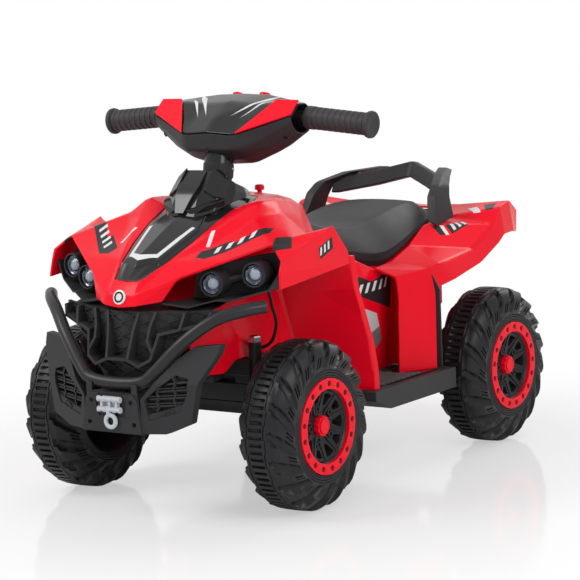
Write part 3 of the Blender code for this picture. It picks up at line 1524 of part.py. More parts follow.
WING_ROOT_Y = -0.1560


def bumper():
    """Front bumper: centre plate between two framed side wings with louvres."""
    plate = [(0.032, 0.0535), (0.038, 0.046), (0.044, 0.007), (-0.044, 0.007), (-0.038, 0.046), (-0.032, 0.0535)]
    ring = [front(x, BUMPER_FRONT, z) for x, z in plate]
    obj = place("bumper", prism(ring, (0, BUMPER_BACK - BUMPER_FRONT, 0)), black_matte())
    combine(obj, [plate_holes()], "DIFFERENCE")
    clamps = []
    wings = []
    windows = []
    slats = []
    for side in (1, -1):
        wings.append(bumper_wing(side))
        floor = [front(side * x, wing_face(x, 0) + WINDOW_DEPTH, z) for x, z in WINDOW]
        windows.append(prism(floor, (0, -0.040, 0)))
        slats += wing_slats(side)
        x0, x1 = sorted((side * 0.0285, side * 0.0365))
        tube_front = BULL_BAR[1][1] - BULL_BAR_RADIUS - RUN_GAP
        low = front(x0, BUMPER_FRONT + 0.0004, 0.040)
        clamps.append(box(low, front(x1, tube_front, BULL_BAR[1][2] - 0.002)))
    for tools, operation in ((wings, "UNION"), (windows, "DIFFERENCE"), (slats, "UNION"), (clamps, "UNION")):
        combine(obj, tools, operation)
    return obj


def plate_holes():
    """The four open bolt holes of the winch plate, as one cutter."""
    holes = bmesh.new()
    for side in (1, -1):
        for x, z in PLATE_HOLES:
            start = front(side * x, BUMPER_FRONT - 0.002, z)
            add_bmesh(holes, rod(start, start + Vector((0, 0.016, 0)), PLATE_HOLE_RADIUS, 6))
    return holes


def bumper_wing(side):
    """Swept side wing: an upright lower facet and an upper facet that leans back."""
    bm = bmesh.new()
    for outline in (WING_LOW, WING_HIGH):
        bm.faces.new([bm.verts.new(front(side * x, wing_face(x, z), z)) for x, z in outline])
    bmesh.ops.remove_doubles(bm, verts=bm.verts, dist=1e-6)
    sheet = bmesh.ops.extrude_face_region(bm, geom=list(bm.faces), use_keep_orig=True)
    moved = [item for item in sheet["geom"] if isinstance(item, bmesh.types.BMVert)]
    bmesh.ops.translate(bm, verts=moved, vec=(0, WING_DEPTH, 0))
    return bm


def wing_face(x, z):
    """How far forward the front of a wing lies, from its sweep and the lean above its fold."""
    lean = max(0.0, z - WING_FOLD) * WING_LEAN
    return WING_ROOT_Y + WING_SWEEP * (x - WING_LOW[0][0]) + lean


def wing_slats(side):
    """Louvres that stand on the floor of a wing's window, clear of its sides."""
    low = min(z for _, z in WINDOW)
    high = max(z for _, z in WINDOW)
    pitch = (high - low) / (SLATS + 1)
    slats = []
    for i in range(SLATS):
        z = low + (i + 0.7) * pitch
        levels = (z, z + SLAT_LEAN + SLAT_THICKNESS)
        inner = max(min(crossings(WINDOW, level)) for level in levels) + SLAT_END_GAP
        outer = min(max(crossings(WINDOW, level + SLAT_RISE)) for level in levels) - SLAT_END_GAP
        face = wing_face(inner, 0) + SLAT_INSET
        back = wing_face(inner, 0) + WINDOW_DEPTH + SLAT_ROOT
        ring = [front(side * inner, face, z), front(side * inner, back, z + SLAT_LEAN)]
        ring += [front(side * inner, back, z + SLAT_LEAN + SLAT_THICKNESS)]
        ring += [front(side * inner, face, z + SLAT_THICKNESS)]
        width = outer - inner
        slats.append(prism(ring, (side * width, WING_SWEEP * width, SLAT_RISE)))
    return slats


def crossings(outline, z):
    """Where a level crosses a closed outline of (x, z)."""
    hits = []
    for (x0, z0), (x1, z1) in zip(outline, outline[1:] + outline[:1]):
        if (z0 - z) * (z1 - z) < 0:
            hits.append(x0 + (x1 - x0) * (z - z0) / (z1 - z0))
    return hits


def winch_hook():
    """Light grey winch block with two rollers and the tow hook below it."""
    face = BUMPER_FRONT - RUN_GAP
    obj = place("winch_hook", box(front(-0.012, face - 0.005, 0.030), front(0.012, face, 0.051)), grey_plastic())
    tools = []
    for z in (0.034, 0.047):
        tools.append(rod(front(-0.0165, face - 0.0040, z), front(0.0165, face - 0.0040, z), 0.0037, 8))
    ring = [(-0.003, 0.0042), (-0.003, 0.0095), (0.003, 0.0095), (0.003, 0.0042)]
    tools.append(turned(front(0.001, face - 0.0035, 0.021), (0, 1, 0), ring, 12))
    return combine(obj, tools, "UNION")


LAMPS = {"outer": (0.133, -0.0540, 0.181), "inner": (0.091, -0.0790, 0.172)}


def lamp_axis(side):
    """Way the lamps of one side look: ahead and a little outwards."""
    return Vector((side * math.sin(LAMP_TOE), -math.cos(LAMP_TOE), 0))


def lamp_cup(face, axis, bezel):
    """One lamp's cup, with the spigot at its back that stands against the wall of the bezel."""
    bore = 0.004
    spigot = 0.007
    rim = circle(face - axis * LAMP_DEPTH, axis, spigot, LAMP_SIDES)
    reach = min((surface_hit(bezel, point, -axis) - point).length for point in rim) - RUN_GAP
    profile = [
        (0, LAMP_RADIUS - 0.002),
        (0, LAMP_RADIUS),
        (-LAMP_DEPTH, LAMP_RADIUS),
        (-LAMP_DEPTH, spigot),
        (-LAMP_DEPTH - reach, spigot),
        (-LAMP_DEPTH - reach, bore),
        (-LAMP_DEPTH + 0.012, LAMP_RADIUS - 0.002),
    ]
    return turned(face, axis, profile, LAMP_SIDES)


def lamp_pod(side_name, bezel):
    """Housing of a pair of lamps: two cups joined by a bridge."""
    side = SIDES[side_name]
    axis = lamp_axis(side)
    cups = [lamp_cup(front(side * x, y, z), axis, bezel) for x, y, z in LAMPS.values()]
    obj = place(f"lamp_pod_{side_name}", cups[0], black_matte())
    x0, y0, z0 = LAMPS["outer"]
    x1, y1, z1 = LAMPS["inner"]
    start = front(side * x0, y0, z0) - axis * 0.020
    end = front(side * x1, y1, z1) - axis * 0.020
    along = (end - start).normalized()
    bridge = rod(start + along * (LAMP_RADIUS - 0.0015), end - along * (LAMP_RADIUS - 0.0015), 0.005, 8)
    combine(obj, [cups[1], bridge], "UNION")
    for key, (x, y, z) in LAMPS.items():
        lens(f"lens_{side_name}_{key}", front(side * x, y, z), axis)
    return obj


def lens(name, face, axis):
    """Clear bulb-shaped lens seated in its cup."""
    profile = [(-0.012, LENS_RADIUS * 0.72), (-0.0060, LAMP_RADIUS - 0.002 - SEAT_GAP), (-0.0030, LAMP_RADIUS - 0.002 - SEAT_GAP)]
    profile += [(-0.0010, LENS_RADIUS * 0.80), (0.0005, LENS_RADIUS * 0.4)]
    place(name, turned_solid(face, axis, profile, LAMP_SIDES), clear_lens(), face, smooth=40)


BEZEL_LIP = (
    (0.046, -0.1140, 0.1535),
    (0.076, -0.1060, 0.1490),
    (0.102, -0.0880, 0.1560),
    (0.114, -0.0780, 0.1545),
    (0.150, -0.0500, 0.1645),
    (0.163, -0.0430, 0.1860),
)
BEZEL_FLOOR = (
    (0.056, -0.0650, 0.1535),
    (0.076, -0.0500, 0.1500),
    (0.102, -0.0330, 0.1560),
    (0.114, -0.0235, 0.1550),
    (0.146, -0.0110, 0.1640),
    (0.160, -0.0180, 0.1840),
)
BEZEL_BACK = (
    (0.060, -0.0620, 0.1860),
    (0.078, -0.0470, 0.1900),
    (0.103, -0.0300, 0.1960),
    (0.114, -0.0220, 0.1990),
    (0.144, -0.0090, 0.2040),
    (0.158, -0.0160, 0.1960),
)


def lamp_bezel(side_name):
    """Black surround of the lamp opening: a tray with a kinked lower lip and a back wall."""
    side = SIDES[side_name]
    points = {}
    faces = []
    for row, line in zip("lkt", (BEZEL_LIP, BEZEL_FLOOR, BEZEL_BACK)):
        for i, (x, y, z) in enumerate(line):
            points[f"{row}{i}"] = front(side * x, y, z)
    for low, high in (("l", "k"), ("k", "t")):
        for i in range(5):
            faces.append(f"{low}{i} {low}{i + 1} {high}{i + 1} {high}{i}")
    return panel(f"lamp_bezel_{side_name}", points, faces, TRIM_WALL, black_matte(), False, (0, 0.3, 1))


def lamp_lead():
    """Lead from the left lamps down to the chassis."""
    route = [(0.120, -0.0145, 0.170), (0.119, -0.004, 0.152), (0.114, 0.008, 0.135), (0.112, 0.018, 0.115), (0.104, 0.022, 0.095), (0.092, 0.026, 0.085), (0.0781, 0.028, 0.080)]
    return tube("lamp_lead_left", [front(*p) for p in route], 0.0020, black_matte(), 2, 2)


# Controls


def direction_switch(parent_point):
    """Forward and reverse switch on the tank: a toggle in its housing under the skin."""
    x, y, z = parent_point
    stem = turned_solid(
        parent_point,
        (0, 0, 1),
        [(-0.0085, 0.0030), (0.008, 0.0030), (0.0085, 0.0060), (0.0130, 0.0060), (0.0150, 0.0045)],
        12,
    )
    place("direction_switch", stem, red_gloss(), parent_point)
    seat_height = AXLE_Z + 0.2222 + SEAT_GAP
    housing = box((x - 0.011, y - 0.012, seat_height), (x + 0.011, y + 0.012, z - 0.0045))
    obj = place("switch_housing", housing, black_matte())
    cut = box((x - 0.0036, y - 0.0085, z - 0.0120), (x + 0.0036, y + 0.0085, z + 0.004))
    combine(obj, [cut], "DIFFERENCE")


def accelerator_pedal():
    """Foot pedal on the right running board, hinged at its heel."""
    heel = pedal_hinge()
    forward = Vector((0, -math.cos(PEDAL_TILT), math.sin(PEDAL_TILT)))
    up = Vector((0, math.sin(PEDAL_TILT), math.cos(PEDAL_TILT)))
    half = Vector((PEDAL_WIDTH / 2, 0, 0))
    ring = [heel - half - up * 0.002, heel + half - up * 0.002, heel + half + forward * PEDAL_LENGTH - up * 0.002]
    ring.append(heel - half + forward * PEDAL_LENGTH - up * 0.002)
    obj = place("accelerator_pedal", prism(ring, up * 0.005), black_matte(), heel)
    bpy.context.view_layer.update()
    ends = Vector((PEDAL_WIDTH / 2 + PEDAL_EAR, 0, 0))
    pin = rod(heel - ends, heel + ends, PEDAL_PIN, 10)
    return combine(obj, [pin], "UNION")


def pedal_hinge():
    """Hinge line of the pedal at its heel."""
    return Vector((-(BOARD_INNER_X + BOARD_OUTER_X) / 2, front(0, 0.225, 0).y, AXLE_Z + BOARD_TOP + 0.0045))


def build():
    """Model every piece and parent what moves to its joint."""
    clear_scene()
    steering = pivot("steering_axis", column_point(0))
    for side_name, side in SIDES.items():
        turn = pivot(f"kingpin_axis_{side_name}", front(side * KINGPIN_X, 0, 0))
        knuckle(side_name, turn)
        kingpin_nut(side_name, turn)
    front_axle()
    link = pivot("tie_rod_axis", front(KINGPIN_X, STEER_ARM, 0))
    tie_rod(link)
    for end in ("front", "rear"):
        make = front if end == "front" else rear
        for side_name, side in SIDES.items():
            spin = pivot(f"wheel_axis_{end}_{side_name}", make(side * HALF_TRACK, 0, 0))
            wheel(end, side_name, spin)
    steering_column(steering)
    column_collar(steering)
    head_covers(steering)
    handlebar(steering)
    for side_name in SIDES:
        grip(side_name, steering)
    chassis()
    rear_axle()
    gearbox()
    battery()
    body = main_body()
    fairing_bosses(body, front_fairing())
    hood_cover()
    cowl()
    seat()
    backrest(rear_fairing())
    grille()
    bull_bar()
    bumper()
    winch_hook()
    for side_name in SIDES:
        leg_shield(side_name)
        lamp_pod(side_name, lamp_bezel(side_name))
    lamp_lead()
    direction_switch(front(0, SWITCH_BACK, 0.245))
    accelerator_pedal()


build()
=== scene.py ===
"""Looks of a child's electric ride-on quad, built round its packed construction model.

Every sub-assembly is a class that holds its sizes and builds its meshes; every finish is a small
frozen dataclass that writes its own material. Lengths are metres, +Z is up, the quad drives towards
-Y and the rider's left is +X.
"""
from __future__ import annotations

import json
import logging
import math
from dataclasses import dataclass, field, replace
from enum import Enum
from typing import Any, ClassVar, Iterable, Sequence

import bmesh
import bpy
from mathutils import Matrix, Vector
from mathutils.bvhtree import BVHTree


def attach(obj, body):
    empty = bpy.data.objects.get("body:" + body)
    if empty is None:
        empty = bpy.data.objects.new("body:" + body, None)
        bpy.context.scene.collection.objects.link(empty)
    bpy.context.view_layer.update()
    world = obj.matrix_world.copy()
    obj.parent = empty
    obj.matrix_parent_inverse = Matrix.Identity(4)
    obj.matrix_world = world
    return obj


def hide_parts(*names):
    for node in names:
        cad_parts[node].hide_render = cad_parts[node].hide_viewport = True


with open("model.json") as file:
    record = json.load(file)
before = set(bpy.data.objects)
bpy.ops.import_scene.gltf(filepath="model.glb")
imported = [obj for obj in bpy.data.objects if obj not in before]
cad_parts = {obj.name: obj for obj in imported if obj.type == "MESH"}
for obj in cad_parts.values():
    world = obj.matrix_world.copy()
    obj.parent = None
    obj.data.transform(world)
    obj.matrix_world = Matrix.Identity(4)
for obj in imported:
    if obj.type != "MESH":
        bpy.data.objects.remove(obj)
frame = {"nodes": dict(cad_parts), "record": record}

log = logging.getLogger("quad")

Point = tuple[float, float, float]
Flat = tuple[float, float]
Colour = tuple[float, float, float]
Profile = tuple[Flat, ...]
Rounding = tuple[float, float, int]

FRONT_AXLE = Vector((0.0, -0.195, 0.100))
REAR_AXLE = Vector((0.0, 0.240, 0.100))


class Side(Enum):
    """The two sides of the quad, with the sign of their X."""

    LEFT = 1
    RIGHT = -1

    @property
    def word(self) -> str:
        """Name of the side as the construction model spells it."""
        return self.name.lower()


class End(Enum):
    """The two axles."""

    FRONT = "front"
    REAR = "rear"

    @property
    def axle(self) -> Vector:
        """Middle of the axle."""
        return FRONT_AXLE if self is End.FRONT else REAR_AXLE


# Shader arithmetic


@dataclass(frozen=True)
class Link:
    """A socket of a material's nodes that takes part in ordinary arithmetic."""

    tree: bpy.types.NodeTree
    socket: bpy.types.NodeSocket

    def maths(self, operation: str, *values: Link | float) -> Link:
        """Add a Math node.

        Args:
            operation: Blender's name of the operation.
            values: its operands, links or numbers.

        Returns:
            The node's value.
        """
        node = self.tree.nodes.new("ShaderNodeMath")
        node.operation = operation
        for target, value in zip(node.inputs, values):
            wire(self.tree, target, value)
        return Link(self.tree, node.outputs[0])

    def __add__(self, other: Link | float) -> Link:
        """Sum."""
        return self.maths("ADD", self, other)

    def __radd__(self, other: float) -> Link:
        """Sum with the number first."""
        return self.maths("ADD", other, self)

    def __sub__(self, other: Link | float) -> Link:
        """Difference."""
        return self.maths("SUBTRACT", self, other)

    def __rsub__(self, other: float) -> Link:
        """Difference with the number first."""
        return self.maths("SUBTRACT", other, self)

    def __mul__(self, other: Link | float) -> Link:
        """Product."""
        return self.maths("MULTIPLY", self, other)

    def __rmul__(self, other: float) -> Link:
        """Product with the number first."""
        return self.maths("MULTIPLY", other, self)

    def __truediv__(self, other: Link | float) -> Link:
        """Quotient."""
        return self.maths("DIVIDE", self, other)

    def __abs__(self) -> Link:
        """Size without sign."""
        return self.maths("ABSOLUTE", self)

    def clamped(self) -> Link:
        """The value held between 0 and 1."""
        held = self.maths("MAXIMUM", self, 0.0)
        return held.maths("MINIMUM", held, 1.0)


def wire(
    tree: bpy.types.NodeTree, target: bpy.types.NodeSocket, value: Link | float | Sequence[float]
) -> None:
    """Feed an input with a link, or set its own value.

    Args:
        tree: the material's node tree.
        target: the input socket.
        value: a link, a number or a row of numbers.
    """
    if isinstance(value, Link):
        tree.links.new(value.socket, target)
    elif isinstance(value, (int, float)):
        target.default_value = value
    else:
        size = len(target.default_value)
        target.default_value = (*value, 1.0)[:size]


@dataclass
class Painter:
    """Builds the nodes of one material."""

    material: bpy.types.Material
    shader: bpy.types.Node = field(init=False)

    def __post_init__(self) -> None:
        """Find the surface shader."""
        self.material.use_nodes = True
        self.tree = self.material.node_tree
        self.shader = self.tree.nodes["Principled BSDF"]

    def node(
        self,
        kind: str,
        settings: dict[str, Any] | None = None,
        inputs: dict[str | int, Any] | None = None,
        output: str | int = 0,
    ) -> Link:
        """Add any node.

        Args:
            kind: the node's type.
            settings: properties, set before the sockets.
            inputs: values or links of its sockets, by name or number.
            output: the socket that is returned.

        Returns:
            The chosen output.
        """
        made = self.tree.nodes.new(kind)
        for key, value in (settings or {}).items():
            setattr(made, key, value)
        for key, value in (inputs or {}).items():
            wire(self.tree, made.inputs[key], value)
        return Link(self.tree, made.outputs[output])

    def place(self) -> Link:
        """Position on the quad at rest."""
        return self.node("ShaderNodeTexCoord", output="Object")

    def axes(self) -> tuple[Link, Link, Link]:
        """The three parts of the position."""
        parts = self.node("ShaderNodeSeparateXYZ", inputs={0: self.place()})
        return tuple(Link(self.tree, parts.socket.node.outputs[i]) for i in range(3))

    def noise(self, scale: float, detail: float = 2.0, roughness: float = 0.5) -> Link:
        """Soft noise of about one feature per 1/scale metres."""
        values = {"Vector": self.place(), "Scale": scale, "Detail": detail, "Roughness": roughness}
        return self.node("ShaderNodeTexNoise", inputs=values)

    def cells(self, scale: float) -> Link:
        """Distance to the nearest of many scattered points, for moulded or leather grain."""
        return self.node("ShaderNodeTexVoronoi", inputs={"Vector": self.place(), "Scale": scale})

    def blend(self, factor: Link | float, first: Link | Colour, second: Link | Colour) -> Link:
        """Mix of two colours."""
        made = self.tree.nodes.new("ShaderNodeMix")
        made.data_type = "RGBA"
        wire(self.tree, made.inputs[0], factor)
        wire(self.tree, made.inputs[6], first)
        wire(self.tree, made.inputs[7], second)
        return Link(self.tree, made.outputs[2])

    def bump(self, height: Link, depth: float) -> None:
        """Raise the surface by a height of 0 to 1 times a depth in metres."""
        values = {"Strength": 1.0, "Distance": depth, "Height": height}
        normal = self.node("ShaderNodeBump", inputs=values)
        wire(self.tree, self.shader.inputs["Normal"], normal)

    def set(self, **values: Link | float | Sequence[float]) -> None:
        """Set sockets of the surface shader, with underscores for spaces in their names."""
        for key, value in values.items():
            wire(self.tree, self.shader.inputs[key.replace("_", " ")], value)


@dataclass(frozen=True)
class Mark:
    """A convex printed shape on a panel, in two of the quad's axes, the same on both sides.

    Attributes:
        corners: its corners in order, each as two coordinates.
        colour: its colour.
        axes: which coordinates the corners give, such as "xy"; x counts away from the middle.
        gate: a coordinate with its lowest and highest value, outside which the mark isn't printed.
    """

    corners: Profile
    colour: Colour
    axes: str = "xy"
    gate: tuple[str, float, float] | None = None

    def mask(self, painter: Painter, edge: float = 0.0003) -> Link:
        """Value that is 1 inside the shape and 0 outside.

        Args:
            painter: the material being built.
            edge: width of the soft border.

        Returns:
            The mask.
        """
        x, y, z = painter.axes()
        values = {"x": abs(x), "y": y, "z": z}
        first, second = (values[letter] for letter in self.axes)
        area = sum(a[0] * b[1] - b[0] * a[1] for a, b in self.sides())
        turn = 1.0 if area > 0 else -1.0
        result = None
        for (ax, ay), (bx, by) in self.sides():
            length = math.hypot(bx - ax, by - ay)
            nx, ny = -turn * (by - ay) / length, turn * (bx - ax) / length
            inside = (first - ax) * (nx / edge) + (second - ay) * (ny / edge) + 0.5
            result = inside if result is None else result.maths("MINIMUM", result, inside)
        if self.gate is not None:
            letter, low, high = self.gate
            within = result.maths("MINIMUM", (values[letter] - low) / edge, (high - values[letter]) / edge)
            result = result.maths("MINIMUM", result, within)
        return result.clamped()

    def sides(self) -> Iterable[tuple[Flat, Flat]]:
        """Each side's two ends."""
        return zip(self.corners, self.corners[1:] + self.corners[:1])


@dataclass(frozen=True)
class Finish:
    """A moulded or painted surface with a fine grain, slight mottling and uneven roughness.

    Attributes:
        name: the material's name.
        slot: the record's material slot.
        colour: base colour.
        roughness: middle roughness.
        metallic: metallic value.
        coat: clear coat weight.
        grain: depth of the grain in metres.
        grain_scale: features of the grain per metre.
        mottle: how far the colour wanders, as a share.
        uneven: how far the roughness wanders.
        shine: specular level.
        marks: printed shapes on it.
    """

    name: str
    slot: str
    colour: Colour
    roughness: float
    metallic: float = 0.0
    coat: float = 0.0
    grain: float = 0.00002
    grain_scale: float = 900.0
    mottle: float = 0.10
    uneven: float = 0.06
    shine: float = 0.25
    marks: tuple[Mark, ...] = ()

    def material(self) -> bpy.types.Material:
        """The finish's material, made once.

        Returns:
            The material.
        """
        known = bpy.data.materials.get(self.name)
        if known is not None:
            return known
        painter = Painter(bpy.data.materials.new(self.name))
        painter.set(Metallic=self.metallic, Coat_Weight=self.coat, Coat_Roughness=0.05)
        painter.set(Specular_IOR_Level=self.shine)
        self.paint(painter)
        return painter.material

    def paint(self, painter: Painter) -> None:
        """Write the surface's nodes."""
        cloud = painter.noise(14.0, 3.0)
        dark = tuple(c * (1 - self.mottle) for c in self.colour)
        light = tuple(min(1.0, c * (1 + self.mottle)) for c in self.colour)
        colour = painter.blend(cloud, dark, light)
        roughness = self.roughness + (painter.noise(60.0, 4.0) - 0.5) * (2 * self.uneven)
        for mark in self.marks:
            mask = mark.mask(painter)
            colour = painter.blend(mask, colour, mark.colour)
            roughness = roughness + mask * 0.05
        painter.set(Base_Color=colour, Roughness=roughness)
        painter.bump(self.relief(painter), self.grain)

    def relief(self, painter: Painter) -> Link:
        """Height of the grain, 0 to 1."""
        return painter.noise(self.grain_scale, 2.0, 0.6)


@dataclass(frozen=True)
class Leather(Finish):
    """Pebbled vinyl of the saddle."""

    def relief(self, painter: Painter) -> Link:
        """Small rounded pebbles, with a finer grain on them."""
        return painter.cells(self.grain_scale) * 0.8 + painter.noise(self.grain_scale * 2.5, 2.0) * 0.35


@dataclass(frozen=True)
class Brushed(Finish):
    """Zinc plated steel with fine lines along the piece."""

    def relief(self, painter: Painter) -> Link:
        """Fine uneven lines."""
        squeeze = {"Vector": painter.place(), "Scale": (1.0, 12.0, 12.0)}
        stretched = painter.node("ShaderNodeMapping", inputs=squeeze)
        values = {"Vector": stretched, "Scale": self.grain_scale, "Detail": 3.0}
        return painter.node("ShaderNodeTexNoise", inputs=values)


@dataclass(frozen=True)
class Glass(Finish):
    """Clear moulded plastic."""

    def paint(self, painter: Painter) -> None:
        """Let the light through, with faint flow lines in the roughness."""
        painter.set(Base_Color=self.colour, Transmission_Weight=1.0, IOR=1.46)
        painter.set(Roughness=self.roughness + painter.noise(80.0, 2.0) * 0.03)


@dataclass(frozen=True)
class Glow(Finish):
    """Pale lamp core that is lit a little."""

    def paint(self, painter: Painter) -> None:
        """Pale surface with a soft light of its own."""
        cloud = painter.noise(300.0, 2.0)
        colour = painter.blend(cloud, tuple(c * 0.85 for c in self.colour), self.colour)
        painter.set(Base_Color=colour, Roughness=self.roughness, Emission_Strength=0.12)
        painter.set(Emission_Color=colour)


WHITE = (0.74, 0.74, 0.74)
INK_DARK = (0.022, 0.022, 0.024)
INK_GREY = (0.16, 0.16, 0.17)
INK_PALE = (0.55, 0.55, 0.56)

RED = Finish(
    "red_gloss_shell", "red_gloss", (0.86, 0.003, 0.018), 0.26,
    coat=0.05, grain=0.000008, grain_scale=500, mottle=0.03, uneven=0.03, shine=0.14,
)
BLACK_GLOSS = Finish(
    "black_gloss_shell", "black_gloss", (0.012, 0.012, 0.013), 0.16,
    coat=0.25, grain=0.000006, grain_scale=500, uneven=0.03,
)
BLACK_MATTE = Finish(
    "black_grained_shell", "black_matte", (0.026, 0.025, 0.027), 0.48, grain=0.00006, grain_scale=1500
)
TRAY_BLACK = Finish(
    "tray_plastic", "tray_black", (0.034, 0.033, 0.035), 0.50, grain=0.00006, grain_scale=1400
)
# Lighter copy of the tray plastic: painted highlight on the tops of the board's tread ribs.
RIB_HIGHLIGHT_BLACK = Finish(
    "tread_plastic", "tray_black", (0.060, 0.058, 0.062), 0.42, grain=0.00004, grain_scale=1400
)
PEDAL_BLACK = Finish(
    "pedal_plastic", "pedal_black", (0.022, 0.022, 0.024), 0.5, grain=0.00006, grain_scale=1400
)
BAR_BLACK = Finish("bar_paint", "bar_black", (0.022, 0.021, 0.023), 0.34, grain=0.00002, grain_scale=900)
TYRE = Finish(
    "tyre_plastic_look", "tyre_black", (0.0145, 0.0145, 0.0165), 0.37,
    grain=0.00004, grain_scale=700, uneven=0.08,
)
SEAT = Leather("saddle_vinyl", "seat_black", (0.024, 0.022, 0.024), 0.48, grain=0.00010, grain_scale=900)
RUBBER = Finish(
    "grip_rubber_look", "grip_rubber", (0.042, 0.039, 0.042), 0.56, grain=0.00005, grain_scale=1600
)
ZINC = Brushed("zinc_plate", "steel", (0.55, 0.55, 0.57), 0.32, metallic=1.0, grain=0.00001, grain_scale=600)
BLACK_STEEL = Finish(
    "black_steel_paint", "black_steel", (0.015, 0.015, 0.016), 0.36, metallic=0.2, grain=0.00002
)
GREY = Finish(
    "grey_plastic_look", "grey_plastic", (0.50, 0.53, 0.56), 0.42, grain=0.00003, grain_scale=900, mottle=0.05
)
BATTERY_GREY = Finish("battery_case", "battery_grey", (0.10, 0.10, 0.11), 0.5, grain=0.00004)
LEAD = Finish("lead_sleeve", "lead_black", (0.012, 0.012, 0.013), 0.42, grain=0.00002)
LENS = Glass("lens_clear", "clear_lens", (0.96, 0.98, 1.0), 0.03)
LAMP_CORE = Glow("lamp_core", "clear_lens", (0.42, 0.46, 0.55), 0.25)
CHROME = Finish(
    "lamp_reflector", "steel", (0.10, 0.115, 0.15), 0.16,
    metallic=1.0, grain=0.000004, mottle=0.04, uneven=0.03,
)
BADGE_WHITE = Finish(
    "badge_white", "grey_plastic", WHITE, 0.25, coat=0.3, grain=0.000005, mottle=0.02, uneven=0.02
)

SLOT_FINISH = {
    one.slot: one
    for one in (RED, BLACK_GLOSS, BLACK_MATTE, TRAY_BLACK, PEDAL_BLACK, BAR_BLACK, TYRE, SEAT, RUBBER)
    + (ZINC, BLACK_STEEL, GREY, BATTERY_GREY, LEAD, LENS)
}


# Mesh tools


def add_object(name: str, data: bpy.types.Mesh | bpy.types.Curve) -> bpy.types.Object:
    """Link a new object to the scene.

    Args:
        name: its name.
        data: its mesh or curve.

    Returns:
        The object.
    """
    obj = bpy.data.objects.new(name, data)
    bpy.context.scene.collection.objects.link(obj)
    return obj


def from_bmesh(name: str, bm: bmesh.types.BMesh, smooth: float | None = 35.0) -> bpy.types.Object:
    """Turn a bmesh into an object and free it.

    Args:
        name: the object's name.
        bm: the mesh.
        smooth: angle in degrees above which an edge stays sharp, or None for flat faces.

    Returns:
        The object.
    """
    bmesh.ops.recalc_face_normals(bm, faces=bm.faces)
    mesh = bpy.data.meshes.new(name)
    bm.to_mesh(mesh)
    bm.free()
    if smooth is not None:
        mesh.shade_smooth()
        mesh.set_sharp_from_angle(angle=math.radians(smooth))
    return add_object(name, mesh)


def apply_modifiers(obj: bpy.types.Object) -> None:
    """Apply an object's modifiers."""
    graph = bpy.context.evaluated_depsgraph_get()
    mesh = bpy.data.meshes.new_from_object(obj.evaluated_get(graph))
    obj.modifiers.clear()
    obj.data = mesh


def bevelled(obj: bpy.types.Object, width: float, angle: float | None, segments: int = 3) -> bpy.types.Object:
    """Round an object's folds and edges.

    Args:
        obj: the object.
        width: width of the rounding in metres.
        angle: least angle in degrees of a fold that is rounded, or None to go by the edges' weights.
        segments: facets across the rounding.

    Returns:
        The same object.
    """
    bevel = obj.modifiers.new("folds", "BEVEL")
    bevel.width = width
    bevel.segments = segments
    bevel.limit_method = "WEIGHT" if angle is None else "ANGLE"
    if angle is not None:
        bevel.angle_limit = math.radians(angle)
    bevel.use_clamp_overlap = angle is not None
    normals = obj.modifiers.new("even_normals", "WEIGHTED_NORMAL")
    normals.keep_sharp = True
    return obj


def walls(bm: bmesh.types.BMesh, rings: Sequence[Sequence[bmesh.types.BMVert]]) -> None:
    """Join each closed ring of vertices to the next with quads.

    Args:
        bm: the mesh that holds the vertices.
        rings: the rings, of equally many vertices.
    """
    for low, high in zip(rings, rings[1:]):
        for i in range(len(low)):
            j = (i + 1) % len(low)
            bm.faces.new((low[i], low[j], high[j], high[i]))


def skin(bm: bmesh.types.BMesh, rings: Sequence[Sequence[Vector]], loop: bool = False) -> None:
    """Join closed rings of equally many points with quads.

    Args:
        bm: the mesh to add to.
        rings: the rings.
        loop: whether the last ring joins the first.
    """
    made = [[bm.verts.new(point) for point in ring] for ring in rings]
    walls(bm, made + made[:1] if loop else made)
    if not loop:
        bm.faces.new(list(reversed(made[0])))
        bm.faces.new(made[-1])


def ring(centre: Vector, along: Vector, radius: float, sides: int) -> list[Vector]:
    """Points of a circle square to a direction."""
    turn = along.normalized().to_track_quat("Z", "Y").to_matrix()
    step = 2 * math.pi / sides
    flat = [Vector((radius * math.cos(i * step), radius * math.sin(i * step), 0)) for i in range(sides)]
    return [centre + turn @ point for point in flat]


def turned(
    centre: Vector, along: Vector, profile: Sequence[Flat], sides: int, loop: bool = True
) -> bmesh.types.BMesh:
    """Solid of revolution.

    Args:
        centre: origin of the profile.
        along: the axis.
        profile: pairs of distance along the axis and radius.
        sides: facets round the axis.
        loop: whether the profile closes on itself; otherwise its ends are capped.

    Returns:
        The mesh.
    """
    axis = along.normalized()
    bm = bmesh.new()
    skin(bm, [ring(centre + axis * at, axis, radius, sides) for at, radius in profile], loop)
    return bm


def scaled(radius: float, profile: Sequence[Flat]) -> list[Flat]:
    """Profile whose radii are given as shares of one radius."""
    return [(at, radius * share) for at, share in profile]


def join(target: bmesh.types.BMesh, source: bmesh.types.BMesh) -> None:
    """Move one bmesh into another."""
    mesh = bpy.data.meshes.new("part")
    source.to_mesh(mesh)
    source.free()
    target.from_mesh(mesh)
    bpy.data.meshes.remove(mesh)


def block(low: Point, high: Point) -> bmesh.types.BMesh:
    """Rectangular block between two corners."""
    bm = bmesh.new()
    bmesh.ops.create_cube(bm, size=1.0)
    size = Vector(high) - Vector(low)
    bmesh.ops.scale(bm, verts=bm.verts, vec=size)
    bmesh.ops.translate(bm, verts=bm.verts, vec=(Vector(low) + Vector(high)) / 2)
    return bm


def finished(obj: bpy.types.Object, finish: Finish, body: str, *nodes: str) -> bpy.types.Object:
    """Dress a piece and say what it rides on and stands for.

    Args:
        obj: the piece.
        finish: its finish.
        body: the body that it moves with.
        nodes: construction nodes that it replaces.

    Returns:
        The piece.
    """
    obj.data.materials.clear()
    obj.data.materials.append(finish.material())
    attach(obj, body)
    if nodes:
        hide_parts(*nodes)
    log.info("%s rides on %s", obj.name, body)
    return obj


